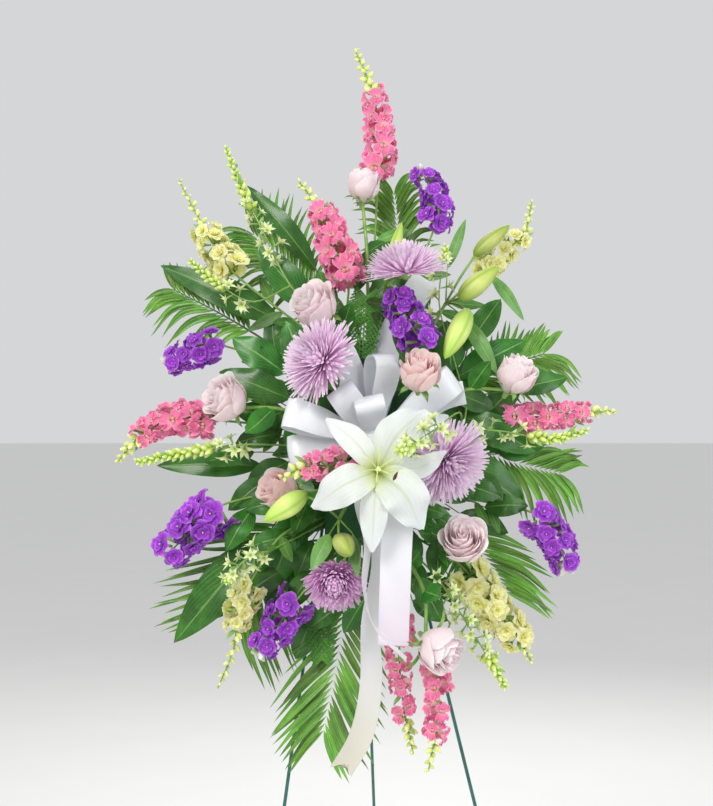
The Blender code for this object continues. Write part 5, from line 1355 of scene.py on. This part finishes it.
def bow_loop(knot, degrees, length, opening, twist, tilt):
    """A teardrop loop from the knot, with its path and its width directions."""
    angle, turn, lean = (math.radians(value) for value in (degrees, twist, tilt))
    radial = RIGHT * math.cos(angle) + UPWARD * math.sin(angle)
    heading = radial * math.cos(lean) + FORWARD * math.sin(lean)
    beside = UPWARD * math.cos(angle) - RIGHT * math.sin(angle)
    ahead = heading.cross(beside)
    if ahead.dot(FORWARD) < 0:
        ahead.negate()
    wide = beside * math.cos(turn) + ahead * math.sin(turn)
    thick = ahead * math.cos(turn) - beside * math.sin(turn)
    knot = knot + heading * BOW_START
    stations = []
    widths = []
    for i in range(15):
        t = i / 14
        run = math.sin(PI * t) ** 0.75
        gape = math.sin(2 * PI * t) * math.sin(PI * t) ** 0.5
        stations.append(knot + heading * (length * CM * run) + thick * (0.5 * opening * CM * gape))
        widths.append(wide * (0.3 + 0.7 * min(1.0, 1.7 * run)))
    return stations, widths


def tail(rows):
    """The path of a tail and its width directions, from its places and their turns in degrees."""
    points = spots(row[:3] for row in rows)
    widths = []
    for i, row in enumerate(rows):
        heading = points[min(i + 1, len(points) - 1)] - points[max(i - 1, 0)]
        flat = heading.cross(FORWARD).normalized()
        edge = flat.cross(heading).normalized()
        turn = math.radians(row[3])
        widths.append((flat * math.cos(turn) + edge * math.sin(turn)) * (1.0 if i else 0.35))
    return points, widths


def make_bow():
    """The bow from one length of ribbon, its knot, and the two streamers."""
    heap = Heap()
    knot = spot(*BOW_KNOT)
    length = 0.0
    for number, row in enumerate(BOW_LOOPS):
        length += ribbon_strip(heap, *bow_loop(knot, *row), (0.5, 0.5), 3, 0.06, 1.7 * number)
    for number, (shades, rows) in enumerate(BOW_TAILS):
        length += ribbon_strip(heap, *tail(rows), shades, 8, 0.05, 2.3 * number)
    bow = piece("bow_ribbon", heap, ("satin",), "bow", "white_satin")

    def wrap(u, v):
        angle = PI * u
        ring = BOW_KNOT_SIZE * np.sin(PI * v) ** 0.5 * (1.0 + 0.06 * np.cos(9.0 * angle))
        return ring * np.cos(angle), 1.06 * ring * np.sin(angle), -BOW_KNOT_SIZE * np.cos(PI * v)

    heap = Heap()
    heap.add(patch(36, 12, wrap, closed=True), 0, 0.5, axes_on(FORWARD, UPWARD), knot)
    piece("bow_knot", heap, ("satin",), slot="white_satin")
    for name, notch, shades, rows in STREAMERS:
        heap = Heap()
        length = ribbon_strip(heap, *tail(rows), shades, 8, 0.04, notch=notch)
        made = piece(name + "_ribbon", heap, ("satin",), name, "white_satin")


# Places of the flowers and leaves, as in the part.

STEM_SHIFTS = {
    "rose_top": (0.0, 0.0, 1.8),
    "rose_bottom": (1.6, 0.0, 2.0),
    "palm_top": (0.0, 0.0, -1.6),
    "fern_lower": (2.4, 0.0, 0.4),
    "mum_top": (0.9, 0.0, 0.0),
    "rose_peach": (1.6, 2.0, 0.0),
}
STEM_VIAS = {
    "rose_top": ((1.6, 22.0, 9.4),),
    "rose_left": ((-12.0, -0.8, 12.6),),
    "rose_right": ((16.6, 2.0, 12.6),),
    "rose_bottom": ((10.0, -28.0, 16.0),),
    "mum_top": ((4.4, 12.6, 9.8), (4.4, 18.0, 14.8)),
    "yellow_stock_low_left": ((-11.4, -20.0, 10.8),),
    "rose_peach": ((8.6, 4.8, 13.0),),
    "lily_open": ((-1.8, -12.6, 13.5), (-1.0, -12.8, 19.5)),
    "mum_left": ((-4.8, 3.8, 13.0),),
    "snapdragon_upper_left": ((-1.8, 11.0, 7.6),),
    "snapdragon_middle": ((-0.6, -10.4, 14.5),),
}

ROSES = (
    ("rose_top", (1.1, 32.6, 9.0), (0.10, 1.0, 0.25), 0.030, "blush", 11, 0.35),
    ("rose_upper_left", (-6.3, 14.6, 17.5), (-0.55, 0.55, 0.75), 0.037, "blush", 12, 0.6),
    ("rose_left", (-19.6, 0.6, 14.0), (-0.75, 0.35, 0.65), 0.036, "blush", 13, 0.7),
    ("rose_peach", (9.5, 4.6, 23.5), (0.05, 0.62, 0.78), 0.034, "peach", 14, 0.32),
    ("rose_low_left", (-11.6, -13.0, 15.0), (-0.70, 0.30, 0.65), 0.033, "peach", 15, 0.42),
    ("rose_right", (24.0, 4.2, 13.4), (0.45, 0.75, 0.45), 0.034, "blush", 16, 0.5),
    ("rose_low_right", (16.1, -20.6, 17.5), (-0.10, 0.32, 0.94), 0.036, "blush", 17, 0.55),
    ("rose_bottom", (12.4, -37.0, 18.4), (0.65, -0.60, 0.50), 0.036, "blush", 18, 0.3),
)

MUMS = (
    ("mum_top", (7.4, 19.4, 19.6), (-0.10, 0.95, 0.35), 0.060, 21, 0.0),
    ("mum_left", (-5.0, 6.2, 21.0), (-0.70, 0.28, 0.62), 0.062, 22, -0.1),
    ("mum_right", (13.4, -8.6, 18.5), (0.55, -0.52, 0.66), 0.062, 23, -0.1),
    ("mum_low", (-3.2, -26.5, 15.4), (0.02, -0.66, 0.74), 0.046, 24, -0.1),
)

SNAPDRAGONS = (
    (
        "snapdragon_top",
        ((3.2, 33.4, 6.0), (3.6, 39.0, 6.5), (2.4, 46.6, 6.5), (-0.2, 53.0, 6.0)),
        (0.0, 0.62, 5, 0.034),
        (6, 0.0085),
        31,
    ),
    (
        "snapdragon_upper_left",
        ((-1.2, 17.8, 12.0), (-2.7, 22.4, 12.0), (-5.2, 28.6, 11.0), (-8.6, 33.2, 10.0)),
        (0.0, 0.66, 5, 0.040),
        (4, 0.0085),
        32,
    ),
    (
        "snapdragon_left",
        ((-20.6, -2.6, 9.0), (-27.6, -2.4, 9.0), (-32.6, -5.2, 8.5), (-35.8, -8.8, 8.0)),
        (0.0, 0.70, 5, 0.034),
        (4, 0.0085),
        33,
    ),
    (
        "snapdragon_middle",
        ((-0.4, -8.8, 20.5), (-4.6, -9.4, 21.5), (-8.4, -10.0, 21.0), (-11.2, -11.2, 20.5)),
        (0.0, 0.64, 3, 0.030),
        (3, 0.0085),
        34,
    ),
    (
        "snapdragon_right",
        ((22.0, -2.4, 8.0), (29.0, -2.0, 8.5), (34.2, -1.4, 8.5), (38.6, -1.2, 8.0)),
        (0.0, 0.74, 5, 0.030),
        (4, 0.0075),
        35,
    ),
)
SNAPDRAGON_LOW = ((6.6, -29.8, 9.5), (6.4, -38.0, 8.6), (7.0, -45.0, 8.0), (8.5, -52.6, 6.5))
SNAPDRAGON_LOW_SIDE = ((7.4, -33.4, 9.2), (11.8, -40.0, 11.0), (12.2, -47.0, 11.0), (10.8, -55.2, 9.5))

PURPLE_STOCKS = (
    ("purple_stock_top", ((11.2, 25.0, 6.5), (12.2, 30.0, 7.5), (9.6, 35.0, 7.5)), 0.033, 41),
    ("purple_stock_middle", ((10.4, 7.6, 16.0), (8.2, 11.6, 16.6), (5.8, 16.6, 16.4)), 0.038, 42),
    ("purple_stock_left", ((-20.6, 8.8, 6.0), (-24.2, 7.8, 7.0), (-28.4, 5.8, 7.0)), 0.032, 43),
    ("purple_stock_low_left", ((-19.4, -15.0, 9.0), (-24.4, -18.8, 9.5), (-28.6, -23.0, 9.0)), 0.044, 44),
    ("purple_stock_bottom", ((-8.0, -28.4, 11.5), (-11.0, -32.4, 11.0), (-14.6, -37.6, 10.0)), 0.036, 45),
    ("purple_stock_right", ((26.4, -16.4, 9.0), (29.8, -20.4, 9.5), (31.8, -25.0, 9.0)), 0.036, 46),
)
YELLOW_STOCKS = (
    (
        "yellow_stock_upper_left",
        ((-17.4, 18.6, 8.6), (-21.0, 23.0, 9.0), (-24.2, 28.8, 8.6), (-26.6, 33.4, 8.0)),
        (0.0, 0.52, 3, 0.034),
        (5, 0.0095),
        51,
    ),
    (
        "yellow_stock_upper_right",
        ((18.0, 19.0, 7.5), (21.6, 22.2, 8.0), (25.2, 25.6, 8.0), (26.3, 30.2, 7.5)),
        (0.0, 0.58, 3, 0.030),
        (5, 0.0095),
        52,
    ),
    (
        "yellow_stock_low_left",
        ((-15.4, -26.0, 10.6), (-17.6, -30.8, 10.8), (-18.4, -36.8, 10.4), (-20.8, -42.8, 9.4)),
        (0.0, 0.44, 3, 0.032),
        (5, 0.0095),
        53,
    ),
    (
        "yellow_stock_low_right",
        ((15.6, -24.4, 9.5), (20.6, -30.6, 10.0), (24.4, -35.6, 9.5), (26.2, -38.8, 9.0)),
        (0.0, 0.80, 5, 0.040),
        (3, 0.0095),
        54,
    ),
)

LARKSPUR_UPPER = ((-9.9, 17.6, 9.5), (-14.0, 25.7, 9.5), (-17.3, 32.4, 9.0), (-19.7, 38.6, 8.0))
LARKSPUR_UPPER_SIDE = ((-9.9, 17.6, 9.5), (-15.4, 15.2, 11.4), (-20.4, 17.6, 12.4), (-25.1, 21.4, 12.0))
LARKSPUR_LEFT = ((-16.2, -6.2, 12.5), (-25.0, -7.4, 12.5), (-33.0, -8.9, 11.5))
LARKSPUR_LOW_LEFT = ((-12.2, -21.8, 12.6), (-16.7, -23.6, 14.6), (-19.6, -27.0, 15.0))
LARKSPUR_RIGHT = ((15.6, -4.2, 12.6), (21.5, -4.2, 12.0), (29.0, -5.4, 12.0), (34.6, -4.2, 11.5))
LARKSPUR_RIGHT_UP = (
    (15.6, -4.2, 12.6),
    (16.4, -0.4, 10.8),
    (14.6, 6.6, 12.0),
    (12.4, 15.0, 14.0),
    (13.4, 23.6, 13.0),
)
LARKSPUR_FRONT = ((15.6, -4.2, 12.6), (15.4, -1.4, 20.0), (11.4, -4.2, 27.4), (6.6, -7.2, 29.4))
LARKSPUR_LOW_RIGHT = ((11.6, -25.6, 12.5), (15.0, -30.6, 13.0), (19.4, -37.6, 12.5), (22.4, -42.8, 11.5))

BOW_KNOT = (2.8, -5.5, 14.5)
BOW_KNOT_SIZE = 0.019
BOW_START = 0.011
BOW_LOOPS = (
    (112, 12.6, 2.6, 10, 4),
    (38, 13.2, 2.8, 20, 4),
    (188, 11.2, 2.4, 0, 0),
    (84, 11.0, 3.6, 35, 20),
    (166, 12.4, 3.0, 5, 16),
    (5, 9.6, 2.8, -10, 14),
    (130, 8.8, 3.2, -10, 38),
    (102, 6.5, 3.2, 0, 52),
)
BOW_TAILS = (
    # the ribbon's shades of painted reflected colour from the knot on, then its places with turns in
    # degrees
    (
        (0.5, 0.5),
        ((4.0, -4.8, 14.2, 0), (7.6, -2.6, 13.4, 10), (12.4, 0.6, 14.2, 20), (16.2, 1.6, 15.0, 25)),
    ),
    (
        (0.5, 0.5),
        (
            (2.9, -4.4, 13.6, 0),
            (3.2, 1.0, 12.0, 0),
            (4.6, 8.0, 10.8, -10),
            (7.2, 13.6, 9.8, -10),
            (10.4, 18.6, 10.0, -10),
        ),
    ),
    (
        (0.5, 0.55, 0.75, 0.7),
        (
            (2.6, -6.6, 15.0, 0),
            (2.3, -10.0, 16.2, 10),
            (1.4, -16.0, 18.0, 40),
            (1.6, -22.0, 20.4, 75),
            (1.2, -28.0, 22.8, 82),
            (2.8, -33.6, 23.8, 85),
            (7.6, -38.6, 22.8, 80),
        ),
    ),
)
STREAMERS = (
    # name, notch depth at its end, shades of painted reflected colour, then places with turns in degrees
    (
        "streamer_short",
        0.0,
        (0.5, 0.5, 0.5, 0.6, 0.9),
        (
            (3.6, -6.9, 15.35, 0),
            (5.4, -10.4, 18.6, 0),
            (6.2, -16.0, 20.2, 0),
            (5.9, -24.0, 20.4, 2),
            (5.5, -36.4, 19.6, 8),
        ),
    ),
    (
        "streamer_long",
        STREAMER_NOTCH,
        (0.5, 0.5, 0.6, 0.45, 0.2, 0.1),
        (
            (2.85, -7.51, 14.2, 0),
            (3.6, -13.0, 14.6, 10),
            (3.8, -24.0, 15.4, 45),
            (2.2, -33.0, 16.4, 50),
            (2.2, -42.0, 15.4, 45),
            (0.8, -49.6, 14.4, 40),
            (-2.4, -55.4, 13.8, 40),
        ),
    ),
)

LILY_CENTRE = (3.2, -10.0, 26.0)
LILY_TEPALS = (
    ((6.4, -4.6, 26.5), (10.4, -1.0, 24.0), 6.0),
    ((9.6, -9.6, 25.0), (13.4, -7.2, 26.0), 3.2),
    ((7.4, -14.0, 26.0), (9.6, -19.0, 22.5), 6.2),
    ((2.6, -16.4, 25.0), (2.3, -22.4, 23.0), 3.8),
    ((-2.2, -12.6, 27.0), (-6.6, -15.8, 24.0), 5.2),
    ((-0.6, -5.4, 26.0), (-4.6, -2.4, 24.5), 3.6),
)
RIGHT_LILY_STEM = ((9.5, 8.0, 11.0), (13.4, 15.0, 10.5))
RIGHT_BUDS = (
    ((17.5, 22.0, 12.0), (23.0, 26.7, 12.5), 2.4, 1.0),
    ((15.2, 15.4, 15.5), (21.4, 20.4, 16.5), 3.1, 1.0),
    ((16.9, 14.2, 14.5), (13.2, 6.6, 16.5), 3.3, 1.0),
    ((4.6, 17.8, 13.4), (6.8, 27.2, 12.2), 2.2, 0.2),
)
RIGHT_LILY_LEAVES = (
    ((13.6, 20.0, 10.0), (16.4, 27.6, 10.0), 1.6, 1.0),
    ((20.0, 19.4, 13.0), (25.1, 12.4, 12.0), 1.8, 1.0),
    ((16.0, 13.0, 11.5), (21.2, 4.2, 12.5), 2.4, 1.0),
)
LEFT_LILY_STEM = ((-1.0, -14.5, 12.0), (-2.6, -17.4, 14.5))
LEFT_BUDS = (
    ((-7.4, -13.4, 19.0), (-14.0, -17.8, 19.5), 3.2, 1.0),
    ((-2.8, -20.0, 18.0), (-0.8, -22.8, 21.4), 3.0, 1.0),
)
LEFT_LILY_LEAVES = (
    ((-4.0, -19.6, 18.4), (-6.8, -25.2, 20.0), 2.4, 1.0),
    ((-0.6, -19.6, 17.0), (0.2, -26.4, 19.0), 1.6, 1.0),
)
BUD_SHADES = {"lily_branch_right": (0.15, 0.40, 0.75, 0.60), "lily_branch_left": (0.85, 0.20)}

PALMS = (
    ("palm_top", (((7.0, 17.0, 3.5), (6.4, 24.0, 4.0), (5.6, 31.5, 3.0)), 10.0, 12)),
    (
        "palms_upper_left",
        (((-5.0, 14.0, 3.6), (-10.4, 20.6, 3.8), (-15.6, 25.4, 3.0)), 12.0, 13),
        (((-14.0, 9.6, 3.0), (-20.4, 13.4, 3.5), (-27.4, 17.0, 2.5)), 9.0, 12),
    ),
    ("palm_low_left", (((-10.2, -16.4, 3.4), (-14.0, -22.4, 3.8), (-17.6, -31.0, 3.0)), 16.0, 14)),
    ("palm_bottom", (((-0.6, -25.4, 4.5), (-2.4, -36.0, 5.5), (-5.0, -49.6, 4.0)), 12.0, 15)),
    ("palm_low_right", (((14.0, -16.0, 4.0), (18.4, -22.0, 4.5), (22.6, -28.6, 3.5)), 11.0, 12)),
    (
        "palms_right",
        (((17.0, -6.4, 4.0), (24.0, -9.0, 5.0), (30.6, -10.6, 3.0)), 10.0, 12),
        (((15.0, 1.6, 3.5), (21.6, 5.2, 4.0), (28.2, 7.4, 3.0)), 10.0, 12),
    ),
)
GLOSSY_BRANCHES = (
    # name, the places of its stem, its radius, then base, tip, width and share
    (
        "broad_leaves_left",
        ((-6.0, 10.0, 4.4), (-8.0, 13.0, 4.8)),
        0.0030,
        ((-6.0, 20.0, 5.0), (-16.4, 32.6, 5.0), 3.6, 1.0),
        ((-11.0, 12.0, 4.6), (-29.4, 20.6, 3.4), 4.8, 1.0),
        ((-7.0, 14.0, 5.6), (-15.0, 23.6, 5.4), 5.0, 0.9),
    ),
    (
        "broad_leaves_low",
        ((-7.0, -13.4, 5.0), (-10.4, -15.6, 5.4)),
        0.0030,
        ((-14.0, -9.4, 5.4), (-30.0, -9.4, 5.4), 3.8, 1.0),
        ((-13.6, -20.0, 6.0), (-27.4, -36.0, 5.0), 6.4, 1.0),
        ((-9.0, -20.0, 5.2), (-12.6, -33.0, 5.4), 5.4, 0.8),
    ),
    (
        "salal_left",
        ((-6.4, 1.0, 8.4), (-9.4, 1.0, 8.8)),
        0.0024,
        ((-10.6, 4.4, 9.0), (-18.6, 9.8, 9.4), 4.8, 1.0),
        ((-10.0, 0.6, 9.4), (-20.6, 4.6, 9.4), 4.8, 1.0),
        ((-9.6, -2.6, 8.4), (-18.4, -1.0, 8.4), 4.2, 1.0),
        ((-8.4, -16.0, 8.0), (-13.0, -28.0, 7.4), 5.6, 0.2),
        ((-7.0, 4.0, 10.6), (-10.6, 12.4, 11.0), 5.2, 0.4),
    ),
    (
        "salal_right",
        ((12.0, 0.0, 9.5), (14.4, 0.6, 10.0)),
        0.0024,
        ((15.0, 3.8, 9.0), (25.4, 9.4, 8.8), 4.8, 1.0),
        ((17.0, 9.0, 9.0), (21.6, 15.6, 9.0), 3.8, 1.0),
        ((16.0, -2.0, 9.0), (27.0, -7.4, 9.6), 4.8, 1.0),
        ((15.0, -8.0, 9.0), (25.0, -15.2, 8.0), 5.8, 0.4),
        ((24.0, 2.0, 8.0), (31.6, 3.8, 7.0), 3.4, 1.0),
        ((14.2, 4.6, 10.2), (13.6, 12.4, 10.8), 4.6, 1.0),
    ),
)
INNER_HEART = (1.8, -8.0)
INNER_REACH = (21.5, 28.0)
INNER_SECTORS = {
    "broad_leaves_left": ((62.0, 128.0), 16),
    "salal_left": ((125.0, 215.0), 20),
    "broad_leaves_low": ((212.0, 285.0), 18),
    "salal_right": ((-82.0, 65.0), 38),
}
FERN_UPPER = ((((0.6, 5.0, 11.6), (0.8, 10.0, 12.2), (1.4, 15.6, 11.4)), 4.0, 11),)
FERN_LOWER = ((((-4.4, -24.0, 7.2), (-5.2, -30.0, 7.6), (-5.2, -38.0, 7.2)), 3.2, 11),)


def make_finishes():
    made = {}
    for key, (kind, name, *colours, look) in FINISH_ROWS.items():
        made[key] = kind(name, *colours, **look)
    return made


def make_flowers():
    for row in ROSES:
        rose(*row)
    for row in MUMS:
        mum(*row)
    templates = [snapdragon_floret(seed) for seed in (1, 2, 3)]
    kinds = ("pink", "palate", "calyx", "stem", "pink_tube", "pink_bud")
    looks = (templates, bud_heap(PALE_BUD), 2.1, kinds, "pink_snapdragon", 9)
    for name, rows, florets, buds, seed in SNAPDRAGONS:
        spike(name, rows, florets, buds, 4, seed, looks)
    side = (SNAPDRAGON_LOW_SIDE, (0.24, 0.76, 4, 0.029), (3, 0.0085))
    florets = (0.0, 0.74, 5, 0.028)
    spike("snapdragons_bottom", SNAPDRAGON_LOW, florets, (4, 0.0085), 4, 36, looks, (side,))
    templates = [stock_floret(seed) for seed in (4, 5, 6, 7)]
    kinds = ("purple", "purple_bud", "calyx", "stem")
    looks = (templates, bud_heap(), 1.5, kinds, "purple_stock", 0)
    for name, rows, reach, seed in PURPLE_STOCKS:
        spike(name, rows, (0.0, 0.92, 4, 0.97 * reach), (1, 0.014), 5, seed, looks)
    kinds = ("yellow", "yellow_bud", "calyx", "stem")
    looks = (templates, bud_heap(), 1.5, kinds, "yellow_stock", 4)
    for name, rows, (start, end, rings, reach), buds, seed in YELLOW_STOCKS:
        spike(name, rows, (start, end, rings + 1, 0.98 * reach), buds, 5, seed, looks)


def make_larkspurs():
    tip = (0.52, 0.0070, 8)
    side = (LARKSPUR_UPPER_SIDE, (3, 0.35, 0.66), (0.60, 0.0065, 6))
    larkspur("larkspur_upper_left", LARKSPUR_UPPER, (5, 0.15, 0.58), tip, 61, (side,))
    larkspur("larkspur_left", LARKSPUR_LEFT, (3, 0.0, 0.30), (0.30, 0.0078, 10), 62)
    larkspur("larkspur_low_left", LARKSPUR_LOW_LEFT, (6, 0.1, 1.0), (0.8, 0.006, 3), 63)
    up = (LARKSPUR_RIGHT_UP, (3, 0.6, 0.99), (0.9, 0.0060, 3))
    front = (LARKSPUR_FRONT, (7, 0.62, 0.98), (0.90, 0.0090, 4))
    larkspur("larkspur_right", LARKSPUR_RIGHT, (4, 0.05, 0.62), tip, 64, (up, front))
    larkspur("larkspur_low_right", LARKSPUR_LOW_RIGHT, (6, 0.0, 0.74), (0.70, 0.0070, 5), 65, (), 4)


def make_lilies():
    lily("lily_open")
    kinds = ("lily_leaf", "stem", "lily_bud")
    branch("lily_branch_right", RIGHT_LILY_STEM, 0.0032, RIGHT_LILY_LEAVES, kinds, "lily_bud", RIGHT_BUDS)
    branch("lily_branch_left", LEFT_LILY_STEM, 0.0032, LEFT_LILY_LEAVES, kinds, "lily_bud", LEFT_BUDS)


def make_foliage():
    for number, (name, *rows_of) in enumerate(PALMS):
        fronds(name, rows_of, "palm", "palm_frond", 70 + number)
    kinds = ("glossy", "dark_stem")
    broad = {"widest": 0.40, "ripple": 0.025, "fold": 0.22}
    oval = {"sharp": 0.68, "ripple": 0.05, "fold": 0.14, "crown": 0.18}
    for name, stem, radius, *leaves in GLOSSY_BRANCHES:
        form = broad if name.startswith("broad") else oval
        branch(name, stem, radius, leaves, kinds, "glossy_leaf", form=form)
    fronds("fern_upper", FERN_UPPER, "fern", "fern", 81)
    fronds("fern_lower", FERN_LOWER, "fern", "fern", 82)


def finish_stand():
    """Better finishes for the easel, the cage and the foam, which keep their solids."""
    finishes = {"easel": "enamel", "cage": "plastic", "foam": "foam"}
    for name, node in frame["nodes"].items():
        finish = FINISH.get(finishes.get(name.split("_")[0]))
        if finish and not node.material_slots:
            node.data.materials.append(finish)
        for slot in node.material_slots if finish else ():
            slot.material = finish


# Floor, light and camera.


def make_floor():
    mesh = bpy.data.meshes.new("floor")
    corners = [(x * FLOOR_HALF, y * FLOOR_HALF, 0.0) for x, y in ((-1, -1), (1, -1), (1, 1), (-1, 1))]
    mesh.from_pydata(corners, [], [(0, 1, 2, 3)])
    mesh.materials.append(FINISH["floor"])
    linked("floor", mesh)


def soft_light(name, place, aim, size, power, colour=(1.0, 1.0, 1.0)):
    data = bpy.data.lights.new(name, "AREA")
    data.energy = power
    data.size = size
    data.color = colour
    lamp = linked(name, data)
    lamp.location = place
    lamp.rotation_euler = (Vector(aim) - Vector(place)).to_track_quat("-Z", "Y").to_euler()


def make_light():
    world = bpy.context.scene.world or bpy.data.worlds.new("studio")
    bpy.context.scene.world = world
    world.use_nodes = True
    sky = world.node_tree.nodes["Background"]
    sky.inputs["Color"].default_value = (0.90, 0.91, 0.92, 1.0)
    sky.inputs["Strength"].default_value = 0.74
    soft_light("key", (-1.6, -2.8, 3.2), (0.0, 0.0, 1.1), 1.4, 98.0, (1.0, 0.98, 0.95))
    soft_light("fill", (2.2, -2.6, 1.6), (0.0, 0.0, 1.0), 2.0, 45.0, (0.95, 0.97, 1.0))
    soft_light("back", (0.6, 2.6, 2.8), (0.0, 0.0, 1.1), 1.8, 45.0)


def make_camera():
    data = bpy.data.cameras.new("photo_view")
    data.sensor_width = SENSOR
    data.lens = SENSOR * -EYE.y / PHOTO_HEIGHT
    camera = linked("photo_view", data)
    camera.location = EYE + SHIFT
    camera.rotation_euler = (math.radians(90.0), 0.0, 0.0)
    bpy.context.scene.camera = camera


for leftover in list(bpy.data.objects):
    bpy.data.objects.remove(leftover, do_unlink=True)
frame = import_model()
SHIFT = frame_shift()
FINISH = make_finishes()
bpy.context.scene.view_settings.view_transform = "Standard"
make_camera()
make_floor()
make_light()
finish_stand()
make_flowers()
make_larkspurs()
make_lilies()
make_foliage()
make_bow()
